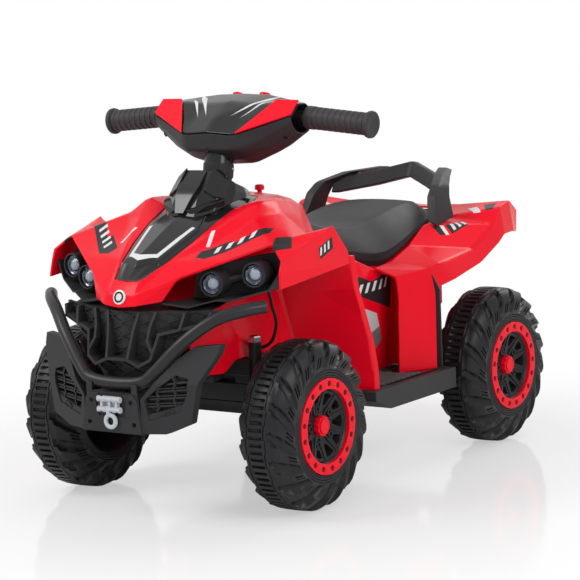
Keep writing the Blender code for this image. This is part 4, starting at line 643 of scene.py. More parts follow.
def dressed(
    name: str,
    bm: bmesh.types.BMesh,
    finish: Finish,
    body: str,
    *nodes: str,
    smooth: float | None = 35.0,
    rounding: Rounding | None = None,
) -> bpy.types.Object:
    """Make a finished piece of a bmesh.

    Args:
        name: the piece's name.
        bm: the mesh.
        finish: its finish.
        body: the body that it moves with.
        nodes: construction nodes that it replaces.
        smooth: angle in degrees above which an edge stays sharp, or None for flat faces.
        rounding: width, least angle and facets of its rounded edges, where it has any.

    Returns:
        The piece.
    """
    obj = from_bmesh(name, bm, smooth)
    if rounding is not None:
        bevelled(obj, *rounding)
    return finished(obj, finish, body, *nodes)


def cut_out(obj: bpy.types.Object, bm: bmesh.types.BMesh) -> bpy.types.Object:
    """Take a mesh out of an object.

    Args:
        obj: the object.
        bm: the mesh that is taken out.

    Returns:
        The same object.
    """
    cutters = from_bmesh("cutters", bm, None)
    cut = obj.modifiers.new("openings", "BOOLEAN")
    cut.operation = "DIFFERENCE"
    cut.solver = "EXACT"
    cut.object = cutters
    apply_modifiers(obj)
    bpy.data.objects.remove(cutters)
    return obj


def surface_of(node: str) -> BVHTree:
    """Surface of a construction node, for finding points on it."""
    mesh = frame["nodes"][node].data
    return BVHTree.FromPolygons([v.co for v in mesh.vertices], [list(p.vertices) for p in mesh.polygons])


def body_of(node: str) -> str:
    """Body that carries a construction node."""
    for body, members in frame["record"]["behaviour"]["bodies"].items():
        if node in members:
            return body
    return "root"


def slot_of(node: str) -> str:
    """Material slot of a construction node."""
    for part in frame["record"]["subparts"]:
        if part["node"] == node:
            return part["material_slot"]
    return "black_matte"


@dataclass(frozen=True)
class Moulding:
    """A construction node whose folds and edges get the radii of the real moulding.

    Attributes:
        node: the construction node.
        fold: width of the rounding of a fold.
        angle: least angle that counts as a fold.
        finish: finish, where it isn't the slot's own.
        rim: width of the rounding of an outer edge.
        segments: facets across the rounding.
    """

    node: str
    fold: float = 0.0008
    angle: float = 22.0
    finish: Finish | None = None
    rim: float = 0.0006
    segments: int = 3

    RIM_ANGLE: ClassVar[float] = 62.0
    SHARE: ClassVar[float] = 0.36
    WELD: ClassVar[float] = 0.00002
    FLAT_ANGLE: ClassVar[float] = 0.8

    def build(self) -> None:
        """Make the rounded piece, which replaces its node."""
        source = frame["nodes"][self.node].data
        bm = bmesh.new()
        verts = [bm.verts.new(v.co) for v in source.vertices]
        for polygon in source.polygons:
            bm.faces.new([verts[i] for i in polygon.vertices])
        bmesh.ops.remove_doubles(bm, verts=bm.verts, dist=self.WELD)
        flat = math.radians(self.FLAT_ANGLE)
        bmesh.ops.dissolve_limit(bm, angle_limit=flat, verts=bm.verts, edges=bm.edges)
        self.weigh(bm)
        obj = from_bmesh(f"{self.node}_shell", bm, 60.0)
        bevelled(obj, max(self.fold, self.rim), None, self.segments)
        finish = self.finish or SLOT_FINISH[slot_of(self.node)]
        finished(obj, finish, body_of(self.node), self.node)

    def weigh(self, bm: bmesh.types.BMesh) -> None:
        """Give each fold and edge its share of the rounding, as far as its neighbours leave room."""
        weights = bm.edges.layers.float.new("bevel_weight_edge")
        widest = max(self.fold, self.rim)
        for edge in bm.edges:
            turn = math.degrees(edge.calc_face_angle(0.0))
            if turn < self.angle:
                continue
            width = self.rim if turn > self.RIM_ANGLE else self.fold
            room = min(loop.face.calc_area() / edge.calc_length() for loop in edge.link_loops)
            for loop in edge.link_loops:
                beside = (loop.link_loop_prev.edge, loop.link_loop_next.edge)
                room = min(room, *(other.calc_length() for other in beside))
            edge[weights] = min(width, self.SHARE * room) / widest


@dataclass
class Studio:
    """Pale floor, soft light and the camera.

    Attributes:
        camera_at: the camera's place.
        turn: its turn about the vertical.
        rise: its height angle.
        roll: its tilt.
        lens: focal length for a 36 mm sensor, in millimetres.
    """

    camera_at: Point = (1.79958, -2.59340, 0.67532)
    turn: float = 0.603661
    rise: float = 0.142558
    roll: float = -0.039484
    lens: float = 158.01

    LAMPS: ClassVar[tuple[tuple[str, Point, float, float], ...]] = (
        ("key_light", (-1.4, -1.6, 2.2), 1.3, 40.0),
        ("fill_light", (2.4, -1.0, 1.6), 1.5, 31.0),
        ("back_light", (0.2, 2.2, 2.0), 1.3, 20.0),
    )
    AIM: ClassVar[Point] = (0.0, 0.0, 0.2)
    CLEAR_FLOOR: ClassVar[float] = 0.40
    FADE: ClassVar[float] = 0.35
    FLOOR_WHITE: ClassVar[float] = 0.50
    GLOSSY_WORLD: ClassVar[float] = 0.62
    LIGHTING_WORLD: ClassVar[float] = 0.50

    def build(self) -> None:
        """Make the floor, lamps, world and camera."""
        self.floor()
        self.world()
        self.lamps()
        self.camera()
        bpy.context.scene.view_settings.view_transform = "Standard"

    def floor(self) -> None:
        """Large pale floor that shows white to the camera and keeps the shadow."""
        bm = bmesh.new()
        bmesh.ops.create_grid(bm, x_segments=1, y_segments=1, size=30.0)
        floor = from_bmesh("studio_floor", bm, None)
        painter = Painter(bpy.data.materials.new("pale_floor"))
        cloud = painter.noise(3.0, 2.0)
        painter.set(Base_Color=painter.blend(cloud, (0.90, 0.90, 0.90), (0.93, 0.93, 0.93)))
        painter.set(Roughness=0.08 + cloud * 0.04)
        white = painter.node("ShaderNodeEmission", inputs={"Color": (1.0, 1.0, 1.0), "Strength": 1.0})
        seen = painter.node("ShaderNodeLightPath", output="Is Camera Ray")
        across = painter.node("ShaderNodeVectorMath", {"operation": "LENGTH"}, {0: painter.place()}, "Value")
        far = ((across - self.CLEAR_FLOOR) / self.FADE).clamped()
        share = seen * (self.FLOOR_WHITE + far * (1 - self.FLOOR_WHITE))
        surface = Link(painter.tree, painter.shader.outputs[0])
        mixed = painter.node("ShaderNodeMixShader", inputs={0: share, 1: surface, 2: white})
        output = painter.tree.nodes["Material Output"]
        painter.tree.links.new(mixed.socket, output.inputs["Surface"])
        floor.data.materials.append(painter.material)

    def world(self) -> None:
        """Plain world: white where it is seen, softer where it lights."""
        world = bpy.data.worlds.new("studio")
        world.use_nodes = True
        tree = world.node_tree
        background = tree.nodes["Background"]
        background.inputs["Color"].default_value = (1.0, 1.0, 1.0, 1.0)
        path = tree.nodes.new("ShaderNodeLightPath")
        seen = Link(tree, path.outputs["Is Camera Ray"])
        glossy = Link(tree, path.outputs["Is Glossy Ray"])
        clear = Link(tree, path.outputs["Is Transmission Ray"])
        bright = (seen + clear + glossy * self.GLOSSY_WORLD).clamped()
        strength = self.LIGHTING_WORLD + bright * (1 - self.LIGHTING_WORLD)
        tree.links.new(strength.socket, background.inputs["Strength"])
        bpy.context.scene.world = world

    def lamps(self) -> None:
        """Three soft boxes that look at the quad's middle, each by name, place, side and watts."""
        for name, at, size, power in self.LAMPS:
            data = bpy.data.lights.new(name, "AREA")
            data.size = size
            data.energy = power
            obj = add_object(name, data)
            obj.location = at
            obj.rotation_euler = (Vector(self.AIM) - Vector(at)).to_track_quat("-Z", "Y").to_euler()

    def camera(self) -> None:
        """Camera at the photograph's viewing angle."""
        data = bpy.data.cameras.new("view")
        data.lens = self.lens
        data.sensor_width = 36.0
        obj = add_object("view", data)
        flat_right = Vector((math.cos(self.turn), math.sin(self.turn), 0.0))
        level = math.cos(self.rise)
        back = Vector((math.sin(self.turn) * level, -math.cos(self.turn) * level, math.sin(self.rise)))
        flat_up = back.cross(flat_right)
        right = math.cos(self.roll) * flat_right + math.sin(self.roll) * flat_up
        up = -math.sin(self.roll) * flat_right + math.cos(self.roll) * flat_up
        turn = Matrix((right, up, back)).transposed().to_4x4()
        obj.matrix_world = Matrix.Translation(self.camera_at) @ turn
        bpy.context.scene.camera = obj


@dataclass(frozen=True)
class Station:
    """One circle of points round a tyre, seen in the tyre's cross-section.

    Attributes:
        top: distance from the middle plane and radius where the tread stands highest.
        base: the same where it stands lowest.
        turn: how far the lugs have swung round here, in lug pitches.
        gap: share of the pitch that is open between two lugs.
        kind: what the height follows: plain, ribs, groove, lug or slotted.
    """

    top: Flat
    base: Flat
    turn: float = 0.0
    gap: float = 0.0
    kind: str = "plain"


@dataclass(frozen=True)
class Wheel:
    """Moulded wheel: tyre with swept lugs, spoked disc, bolted bead ring and lobed hub cap.

    Attributes:
        end: its axle.
        side: its side.
        track: half the track.
        half: half the tyre's width.
        lugs: lugs round each flank.
        windows: openings between the spokes.
        holes: holes of the bead ring.
        bead: the bead ring's inner and outer radius.
        hole_radius: radius of a hole.
        cap_radius: the hub cap's radius.
        cap_depth: how far the cap stands out.
    """

    end: End
    side: Side
    track: float = 0.158
    half: float = 0.0335
    lugs: int = 18
    windows: int = 10
    holes: int = 17
    bead: Flat = (0.0437, 0.0563)
    hole_radius: float = 0.0033
    cap_radius: float = 0.0125
    cap_depth: float = 0.0062

    # Cross-section from the middle of the tread to the bead, by distance outwards and radius
    GROOVE: ClassVar[Profile] = (
        (0.0114, 0.0997), (0.0117, 0.0982), (0.0126, 0.0982), (0.0129, 0.0997)
    )
    BEAD_STEPS: ClassVar[Profile] = (
        (0.0328, 0.0676), (0.0331, 0.0662), (0.0316, 0.0655), (0.0332, 0.0646), (0.0333, 0.0632),
        (0.0318, 0.0625), (0.0334, 0.0616), (0.0335, 0.0602), (0.0322, 0.0594), (0.0335, 0.0585),
        (0.0335, 0.0575),
    )
    SHOULDER: ClassVar[tuple[Station, ...]] = (
        Station((0.0, 0.1000), (0.0, 0.0968), kind="ribs"),
        Station((0.0084, 0.0999), (0.0084, 0.0968), kind="ribs"),
        Station((0.0091, 0.0998), (0.0091, 0.0998)),
        Station((0.0107, 0.0998), (0.0107, 0.0998)),
        *(Station(place, place, kind="groove") for place in GROOVE),
        Station((0.0152, 0.0995), (0.0152, 0.0995)),
        Station((0.0164, 0.0996), (0.0160, 0.0955), 0.0, 0.20, "lug"),
        Station((0.0198, 0.0990), (0.0186, 0.0920), 0.02, 0.31, "lug"),
        Station((0.0206, 0.0987), (0.0190, 0.0910), 0.17, 0.35, "lug"),
        Station((0.0244, 0.0965), (0.0210, 0.0880), 0.24, 0.41, "lug"),
        Station((0.0282, 0.0922), (0.0232, 0.0844), 0.36, 0.46, "lug"),
        Station((0.0312, 0.0866), (0.0262, 0.0806), 0.51, 0.48, "lug"),
        Station((0.0324, 0.0834), (0.0274, 0.0786), 0.59, 0.50, "lug"),
        Station((0.0326, 0.0828), (0.0276, 0.0782), 0.60, 0.50, "slotted"),
        Station((0.0337, 0.0770), (0.0294, 0.0742), 0.76, 0.50, "slotted"),
        Station((0.0340, 0.0722), (0.0306, 0.0710), 0.88, 0.48, "slotted"),
        Station((0.0340, 0.0716), (0.0308, 0.0705), 0.89, 0.48, "lug"),
        Station((0.0337, 0.0696), (0.0318, 0.0690), 0.94, 0.44, "lug"),
        *(Station(place, place, 0.96) for place in BEAD_STEPS),
    )

    # Tread: places round it in shares of a rib's or a lug's pitch, falls in shares of a lug's height,
    # and the wave of the groove beside the centre band in metres
    RIB_STEPS: ClassVar[tuple[float, ...]] = (0.0, 0.50, 0.58, 0.92)
    RIB_END: ClassVar[float] = 0.54
    RIBS_PER_LUG: ClassVar[int] = 4
    LAND: ClassVar[float] = 0.735
    WALL: ClassVar[float] = 0.015
    PITCH_END: ClassVar[float] = 0.985
    LUG_FALL: ClassVar[float] = 0.34
    SLOTS: ClassVar[Profile] = ((0.14, 0.24), (0.39, 0.49))
    SLOT_DEPTH: ClassVar[float] = 0.60
    WAVE: ClassVar[float] = 0.0009

    # Rim and bead ring: places outwards with radii, and each edge of a hole by its depth and growth
    RIM_SEAT: ClassVar[Flat] = (0.0575, 0.0427)
    RIM: ClassVar[Profile] = ((0.0170, 0.0407), (0.0120, 0.0407), (-0.0300, 0.0540))
    RING_PROUD: ClassVar[float] = 0.0015
    RING_DEPTH: ClassVar[float] = 0.0047
    RING_GAP: ClassVar[float] = 0.0003
    RING_EDGE: ClassVar[float] = 0.0004
    RING_FOLD: ClassVar[float] = 0.0005
    RING_ROUNDING: ClassVar[Rounding] = (0.0004, 50.0, 2)
    HOLE_STEPS: ClassVar[Profile] = ((0.0002, 1.12), (0.0007, 1.0), (0.0044, 1.0))
    BEAD_SCREW: ClassVar[Profile] = (
        (0.0300, 0.0031), (0.0328, 0.0031), (0.0331, 0.0024), (0.0324, 0.0012), (0.0324, 0.0002)
    )

    # Disc, and its windows by inner radius and half their width there and outside, in pitches
    DISC: ClassVar[Profile] = (
        (0.0288, 0.0412), (0.0262, 0.0330), (0.0215, 0.0200), (0.0215, 0.0146), (0.0215, 0.0060),
        (-0.0300, 0.0060), (-0.0300, 0.0130), (0.0118, 0.0160), (0.0118, 0.0412),
    )
    DISC_SIDES: ClassVar[int] = 80
    DISC_ROUNDING: ClassVar[Rounding] = (0.0006, 30.0, 3)
    WINDOWS: ClassVar[tuple[Point, ...]] = ((0.0285, 0.16, 0.29), (0.0245, 0.14, 0.33))
    WINDOW_OUTER: ClassVar[Flat] = (0.0375, 0.0385)
    WINDOW_DEPTHS: ClassVar[Flat] = (0.0320, 0.0060)

    # Bosses, and the ribs of the twin spokes by radius, distance from the spoke's middle and height
    BOSS: ClassVar[Profile] = (
        (0.0, 0.0046), (0.0034, 0.0043), (0.0038, 0.0038), (0.0038, 0.0027), (0.0006, 0.0025), (0.0, 0.0010)
    )
    BOSS_SEAT: ClassVar[Flat] = (0.0212, 0.0222)
    SPOKE: ClassVar[tuple[Point, ...]] = (
        (0.0150, 0.34, 0.0228), (0.0270, 0.35, 0.0253), (0.0400, 0.37, 0.0296)
    )
    SPOKE_SPREAD: ClassVar[float] = 1.35
    SPOKE_HALF: ClassVar[float] = 0.0016
    SPOKE_RISE: ClassVar[float] = 0.0030

    # Hub cap: its rows by shares of its depth, of its radius and of the scallops' dip
    CAP_SUNK: ClassVar[float] = 0.0117
    CAP_FOOT: ClassVar[float] = 0.002
    CAP_DIP: ClassVar[float] = 0.13
    CAP_SIDES: ClassVar[int] = 120
    CAP_ROWS: ClassVar[tuple[Point, ...]] = (
        (0.0, 1.0, 1.0), (0.60, 1.0, 1.0), (0.74, 0.965, 1.0), (0.78, 0.90, 0.8), (0.79, 0.76, 0.0),
        (0.96, 0.74, 0.0), (1.0, 0.70, 0.0), (1.0, 0.60, 0.0), (0.94, 0.57, 0.0),
    )

    def at(self, out: float, radius: float, turn: float) -> Vector:
        """Point by its distance outwards, its radius and its turn from the front downwards."""
        axle = self.end.axle
        x = self.side.value * (self.track + out)
        return Vector((x, axle.y - radius * math.cos(turn), axle.z - radius * math.sin(turn)))

    def circle(self, out: float, radius: float, sides: int) -> list[Vector]:
        """Points of a circle round the axle."""
        return [self.at(out, radius, 2 * math.pi * i / sides) for i in range(sides)]

    def phases(self) -> list[tuple[float, bool]]:
        """Places of the points within one lug pitch, and whether a centre rib is there."""
        count = self.RIBS_PER_LUG
        return [((k + step) / count, step < self.RIB_END) for k in range(count) for step in self.RIB_STEPS]

    def height(self, station: Station, phase: float, on_rib: bool) -> float:
        """Height of the tread, from 0 at its base to 1 at its top."""
        if station.kind == "ribs":
            return 1.0 if on_rib else 0.0
        if station.kind not in ("lug", "slotted"):
            return 1.0
        if phase > self.LAND:
            return 0.0
        rise = 1 - self.LUG_FALL * phase / self.LAND
        slot = station.kind == "slotted" and any(low < phase < high for low, high in self.SLOTS)
        return rise - self.SLOT_DEPTH if slot else rise

    def shifted(self, station: Station, phase: float) -> float:
        """Place within the pitch once the lug has narrowed to leave the station's gap."""
        if station.gap == 0.0:
            return phase
        land = self.PITCH_END - station.gap
        if phase <= self.LAND:
            return phase * land / self.LAND
        start = self.LAND + self.WALL
        left = self.PITCH_END - land - self.WALL
        return land + self.WALL + (phase - start) * left / (self.PITCH_END - start)

    def station_ring(self, station: Station, flank: int) -> list[Vector]:
        """Circle of the tyre's points at one station of one flank."""
        pitch = 2 * math.pi / self.lugs
        points = []
        for lug in range(self.lugs):
            for phase, on_rib in self.phases():
                level = self.height(station, phase, on_rib)
                out = station.base[0] + level * (station.top[0] - station.base[0])
                radius = station.base[1] + level * (station.top[1] - station.base[1])
                if station.kind == "groove":
                    out += self.WAVE if phase < 0.5 else -self.WAVE
                turn = lug + self.shifted(station, phase) + station.turn
                points.append(self.at(flank * out, radius, turn * pitch))
        return points

    def tyre(self) -> bmesh.types.BMesh:
        """Tyre and rim as one closed ring."""
        outer = [self.station_ring(one, 1) for one in self.SHOULDER]
        inner = [self.station_ring(one, -1) for one in reversed(self.SHOULDER[1:])]
        sides = len(outer[0])
        seat = self.half + self.RING_PROUD - self.RING_DEPTH - self.RING_GAP
        rim = (*((seat, radius) for radius in self.RIM_SEAT), *self.RIM)
        bm = bmesh.new()
        skin(bm, inner + outer + [self.circle(out, radius, sides) for out, radius in rim], loop=True)
        return bm

    def disc(self) -> bpy.types.Object:
        """Spoked disc with its windows cut out."""
        bm = bmesh.new()
        skin(bm, [self.circle(out, radius, self.DISC_SIDES) for out, radius in self.DISC], loop=True)
        return cut_out(from_bmesh("disc", bm), self.window_cutters())

    def window_cutters(self) -> bmesh.types.BMesh:
        """Tapered blocks where the disc is open, every second one reaching further in."""
        pitch = 2 * math.pi / self.windows
        corner, middle = self.WINDOW_OUTER
        bm = bmesh.new()
        for i in range(self.windows):
            inner, narrow, wide = self.WINDOWS[i % 2]
            outer = ((corner, -wide), (middle, 0.0), (corner, wide))
            corners = ((inner, -narrow), *outer, (inner, narrow))
            piece = bmesh.new()
            skin(piece, [
                [self.at(out, radius, (i + share) * pitch) for radius, share in corners]
                for out in self.WINDOW_DEPTHS
            ])
            bmesh.ops.recalc_face_normals(piece, faces=piece.faces)
            join(bm, piece)
        return bm

    def bosses(self) -> bmesh.types.BMesh:
        """Screws of the bead ring, ring-shaped bosses and the raised edges of the spokes."""
        bm = bmesh.new()
        along = Vector((self.side.value, 0.0, 0.0))
        for i in range(self.holes):
            turn = 2 * math.pi * (i + 0.5) / self.holes
            seat = self.at(0.0, sum(self.bead) / 2, turn)
            join(bm, turned(seat, along, self.BEAD_SCREW, 12, loop=False))
        for i in range(0, self.windows, 2):
            turn = 2 * math.pi * i / self.windows
            join(bm, turned(self.at(*self.BOSS_SEAT, turn), along, self.BOSS, 20, loop=False))
            for edge in (-1, 1):
                join(bm, self.spoke(turn, edge))
        return bm

    def spoke(self, turn: float, edge: int) -> bmesh.types.BMesh:
        """One rib along a twin spoke."""
        bm = bmesh.new()
        rings = []
        for radius, lean, tall in self.SPOKE:
            wide = self.SPOKE_HALF / radius
            middle = turn + edge * lean * 2 * math.pi / self.windows * self.SPOKE_SPREAD
            foot = tall - self.SPOKE_RISE
            corners = ((foot, -1.3), (tall, -0.8), (tall, 0.8), (foot, 1.3))
            rings.append([self.at(out, radius, middle + share * wide) for out, share in corners])
        skin(bm, rings)
        return bm

    def bead_ring(self) -> bmesh.types.BMesh:
        """Flat ring with its row of holes and a shallow fold between each two."""
        face = self.half + self.RING_PROUD
        bm = bmesh.new()
        for i in range(self.holes):
            self.ring_sector(bm, (i + 0.5) * 2 * math.pi / self.holes, face)
        bmesh.ops.remove_doubles(bm, verts=bm.verts, dist=0.00002)
        return bm

    def ring_sector(self, bm: bmesh.types.BMesh, middle: float, face: float) -> None:
        """One sector of the bead ring round its hole."""
        span = math.pi / self.holes
        inner, outer = self.bead
        radius = (inner + outer) / 2
        thirds = [k / 3 for k in range(-3, 4)]
        border = [(outer, share) for share in thirds] + [(radius, 1.0)]
        border += [(inner, -share) for share in thirds] + [(radius, -1.0)]
        rim = []
        hole = []
        for where, share in border:
            lift = self.RING_EDGE * abs(share) if where != radius else self.RING_FOLD
            rim.append(self.at(face - self.RING_EDGE + lift, where, middle + share * span))
            across, up = share * span * radius, where - radius
            size = math.hypot(across, up)
            around = self.hole_radius * across / size / radius
            hole.append((radius + self.hole_radius * up / size, middle + around))
        foot = face - self.RING_DEPTH
        levels = [rim]
        for depth, grow in self.HOLE_STEPS:
            grown = [(radius + (r - radius) * grow, middle + (t - middle) * grow) for r, t in hole]
            levels.append([self.at(face - depth, r, t) for r, t in grown])
        levels.append([self.at(foot, where, middle + share * span) for where, share in border])
        made = [[bm.verts.new(point) for point in level] for level in levels]
        walls(bm, made)
        count = len(border)
        for i in range(count):
            j = (i + 1) % count
            if border[i][0] == border[j][0] != radius:
                bm.faces.new((made[0][i], made[0][j], made[-1][j], made[-1][i]))

    def hub_cap(self) -> bmesh.types.BMesh:
        """Cap with ten scallops and a raised round face."""
        seat = self.half - self.CAP_SUNK
        bm = bmesh.new()
        rings = []
        for depth, scale, lobed in self.CAP_ROWS:
            points = []
            for i in range(self.CAP_SIDES):
                turn = 2 * math.pi * i / self.CAP_SIDES
                dip = self.CAP_DIP * abs(math.cos(5 * turn)) ** 3 * lobed
                radius = self.cap_radius * scale * (1 - dip)
                points.append(self.at(seat + depth * (self.cap_depth + self.CAP_FOOT), radius, turn))
            rings.append(points)
        skin(bm, rings)
        return bm

    def build(self) -> None:
        """Make the wheel's three pieces."""
        place = f"{self.end.value}_{self.side.word}"
        body = f"wheel_{place}"
        bm = self.tyre()
        join(bm, self.bosses())
        disc = bevelled(self.disc(), *self.DISC_ROUNDING)
        apply_modifiers(disc)
        bm.from_mesh(disc.data)
        bpy.data.objects.remove(disc)
        dressed(f"tyre_{place}", bm, TYRE, body, f"wheel_{place}", smooth=24.0)
        lock = self.bead_ring()
        node = f"bead_ring_{place}"
        dressed(f"bead_lock_{place}", lock, RED, body, node, smooth=30.0, rounding=self.RING_ROUNDING)
        dressed(f"scalloped_cap_{place}", self.hub_cap(), RED, body, f"hub_cap_{place}", smooth=32.0)


def smooth_path(points: Sequence[Vector], steps: int) -> list[Vector]:
    """Even curve through points.

    Args:
        points: the points.
        steps: parts between each two of them.

    Returns:
        Points of the curve.
    """
    ends = [2 * points[0] - points[1], *points, 2 * points[-1] - points[-2]]
    path = []
    for a, b, c, d in zip(ends, ends[1:], ends[2:], ends[3:]):
        for k in range(steps):
            t = k / steps
            near = 2 * b + (c - a) * t + (2 * a - 5 * b + 4 * c - d) * t**2
            path.append(0.5 * (near + (3 * b - a - 3 * c + d) * t**3))
    return path + [points[-1]]


@dataclass(frozen=True)
class Tube:
    """Round bar or lead along a smooth route.

    Attributes:
        name: the piece's name.
        node: the construction node that it replaces.
        route: points that it passes, relative to the front axle.
        radius: its radius.
        finish: its finish.
        both: whether the route runs on, mirrored, to the other side.
    """

    name: str
    node: str
    route: tuple[Point, ...]
    radius: float
    finish: Finish
    both: bool = False

    STEPS: ClassVar[int] = 6
    SIDES: ClassVar[int] = 28

    def build(self) -> None:
        """Make the tube."""
        points = [Vector(p) + FRONT_AXLE for p in self.route]
        if self.both:
            points = [Vector((-p.x, p.y, p.z)) for p in reversed(points[1:])] + points
        path = smooth_path(points, self.STEPS)
        turns = [k * (2 * math.pi / self.SIDES) for k in range(self.SIDES)]
        bm = bmesh.new()
        rings = []
        for i, here in enumerate(path):
            along = (path[min(i + 1, len(path) - 1)] - path[max(i - 1, 0)]).normalized()
            level = Vector((0.0, 0.0, 1.0)) - along * along.z
            level.normalize()
            out = along.cross(level)
            rings.append([here + self.radius * (math.cos(a) * level + math.sin(a) * out) for a in turns])
        skin(bm, rings)
        dressed(self.name, bm, self.finish, body_of(self.node), self.node, smooth=40.0)


@dataclass(frozen=True)
class Grip:
    """Rubber grip with a collar, thin ribs and a flanged end.

    Attributes:
        side: its side.
        inner: where it starts on the bar.
        droop: its fall in degrees.
        length: its length.
        radius: its radius.
        ribs: raised bands along it.
    """

    side: Side
    inner: Point = (0.1030, -0.0800, 0.4470)
    droop: float = 5.0
    length: float = 0.0918
    radius: float = 0.0130
    ribs: int = 9

    # Places along the grip, and how far each lies above or below its radius
    COLLAR: ClassVar[Profile] = ((0.0006, 0.0010), (0.0100, 0.0010), (0.0108, -0.0003))
    RIB_FRONT: ClassVar[Profile] = ((0.0030, -0.0003), (0.0035, 0.0006))
    RIB_BACK: ClassVar[Profile] = ((0.0006, 0.0006), (0.0001, -0.0003))
    END_ROOM: ClassVar[float] = 0.0075
    FLANGE: ClassVar[Profile] = (
        (0.0068, 0.0), (0.0060, 0.0028), (0.0040, 0.0034), (0.0014, 0.0030), (0.0002, 0.0016),
        (0.0, -0.0005), (0.0010, -0.0022),
    )

    def build(self) -> None:
        """Make the grip."""
        lean = math.radians(self.droop)
        along = Vector((self.side.value * math.cos(lean), 0.0, -math.sin(lean)))
        start = Vector((self.side.value * self.inner[0], self.inner[1], self.inner[2]))
        r = self.radius
        profile = [(0.0, r * 0.9)] + [(at, r + rise) for at, rise in self.COLLAR]
        collar = self.COLLAR[-1][0]
        pitch = (self.length - collar - self.END_ROOM) / self.ribs
        for i in range(self.ribs):
            here = collar + i * pitch
            profile += [(here + at, r + rise) for at, rise in self.RIB_FRONT]
            profile += [(here + pitch - back, r + rise) for back, rise in self.RIB_BACK]
        profile += [(self.length - back, r + rise) for back, rise in self.FLANGE]
        profile += [(self.length - 0.0016, r * 0.5)]
        bm = turned(start, along, profile, 64, loop=False)
        word = self.side.word
        dressed(f"ribbed_grip_{word}", bm, RUBBER, "steering", f"grip_{word}", smooth=40.0)


@dataclass(frozen=True)
class Saddle:
    """Padded saddle: a crowned cushion with a rolled edge over its base.

    Attributes:
        stations: distance behind the rear axle, half width, underside and top above the axle.
        half_section: right half of a section, as shares of its half width and its height.
        tuck: how much less than its half width the cushion reaches.
    """

    stations: tuple[tuple[float, float, float, float], ...] = (
        (-0.237, 0.018, 0.206, 0.221), (-0.205, 0.052, 0.162, 0.203), (-0.170, 0.076, 0.147, 0.196),
        (-0.135, 0.088, 0.143, 0.197), (-0.095, 0.092, 0.156, 0.204), (-0.050, 0.088, 0.172, 0.210),
        (-0.005, 0.077, 0.180, 0.211), (0.025, 0.056, 0.184, 0.206), (0.042, 0.026, 0.187, 0.198),
    )
    half_section: Profile = (
        (0.0, 1.0), (0.24, 0.993), (0.44, 0.975), (0.60, 0.940), (0.76, 0.715),
        (0.90, 0.51), (1.0, 0.34), (0.975, 0.14), (0.925, 0.0), (0.45, 0.0),
    )
    tuck: float = 0.0012

    STEPS: ClassVar[int] = 5
    ROUNDING: ClassVar[Rounding] = (0.0034, 11.0, 4)

    def section(self, y: float, width: float, low: float, top: float) -> list[Vector]:
        """Closed section: crown, fold, sloping side and the skirt tucked in below."""
        reach = width - self.tuck
        right = [(share * reach, low + (top - low) * level) for share, level in self.half_section]
        left = [(-x, z) for x, z in reversed(right[1:])]
        return [REAR_AXLE + Vector((x, y, z)) for x, z in right + left]

    def build(self) -> None:
        """Make the saddle."""
        rows = smooth_path([Vector(s[:3]) for s in self.stations], self.STEPS)
        tops = smooth_path([Vector((s[0], 0.0, s[3])) for s in self.stations], self.STEPS)
        bm = bmesh.new()
        skin(bm, [self.section(a.x, a.y, a.z, b.z) for a, b in zip(rows, tops)])
        saddle = dressed("saddle_cushion", bm, SEAT, "root", "seat", smooth=60.0, rounding=self.ROUNDING)


@dataclass(frozen=True)
class Lamp:
    """Clear bulb lens in its stepped reflector.

    Attributes:
        side: its side.
        place: inner or outer.
        toe: how far the pair looks outwards, in degrees.
        radius: the lens's radius.
    """

    side: Side
    place: str
    toe: float = 10.0
    radius: float = 0.0108

    # Places along the lamp, with radii in shares of the lens's radius; DOME is height, sink and width
    DOME_TURNS: ClassVar[tuple[float, ...]] = (0.08, 0.3, 0.55, 0.8, 1.05, 1.3, math.pi / 2)
    DOME: ClassVar[Point] = (0.0046, 0.0008, 0.92)
    LENS_BACK: ClassVar[Profile] = (
        (-0.0020, 0.92), (-0.0020, 0.85), (0.0, 0.80), (0.0026, 0.5), (0.0032, 0.08)
    )
    CORE: ClassVar[Profile] = (
        (-0.0018, 0.62), (-0.0006, 0.60), (0.0008, 0.50), (0.0018, 0.34), (0.0023, 0.06)
    )
    CUP: ClassVar[Profile] = (
        (-0.0022, 0.10), (-0.0018, 0.55), (-0.0008, 0.62), (-0.0012, 0.70),
        (0.0, 0.98), (0.0008, 1.06), (0.0002, 1.10), (-0.0024, 1.10),
    )

    def build(self) -> None:
        """Make the lens and its reflector."""
        which = f"{self.side.word}_{self.place}"
        node = f"lens_{which}"
        mesh = frame["nodes"][node].data
        centre = sum((v.co for v in mesh.vertices), Vector()) / len(mesh.vertices)
        lean = math.radians(self.toe)
        along = Vector((self.side.value * math.sin(lean), -math.cos(lean), 0.0))
        r = self.radius
        tall, sunk, wide = self.DOME
        dome = [(tall * math.cos(a) - sunk, r * wide * math.sin(a)) for a in self.DOME_TURNS]
        dome += scaled(r, self.LENS_BACK)
        bm = turned(centre, along, dome[::-1], 40, False)
        dressed(f"bulb_{which}", bm, LENS, "root", node, smooth=50.0)
        bm = turned(centre, along, scaled(r, self.CORE), 32, False)
        dressed(f"bulb_core_{which}", bm, LAMP_CORE, "root", smooth=60.0)
        bm = turned(centre, along, scaled(r, self.CUP), 40, False)
        dressed(f"reflector_{which}", bm, CHROME, "root", smooth=40.0)


GRILLE_NOSE = -0.325
GRILLE_SWEEP = 0.05
GRILLE_HALF = 0.12


def grille_front(x: float) -> float:
    """Front of the grille's plate at a distance from the middle."""
    return GRILLE_NOSE + GRILLE_SWEEP * (abs(x) / GRILLE_HALF) ** 1.5


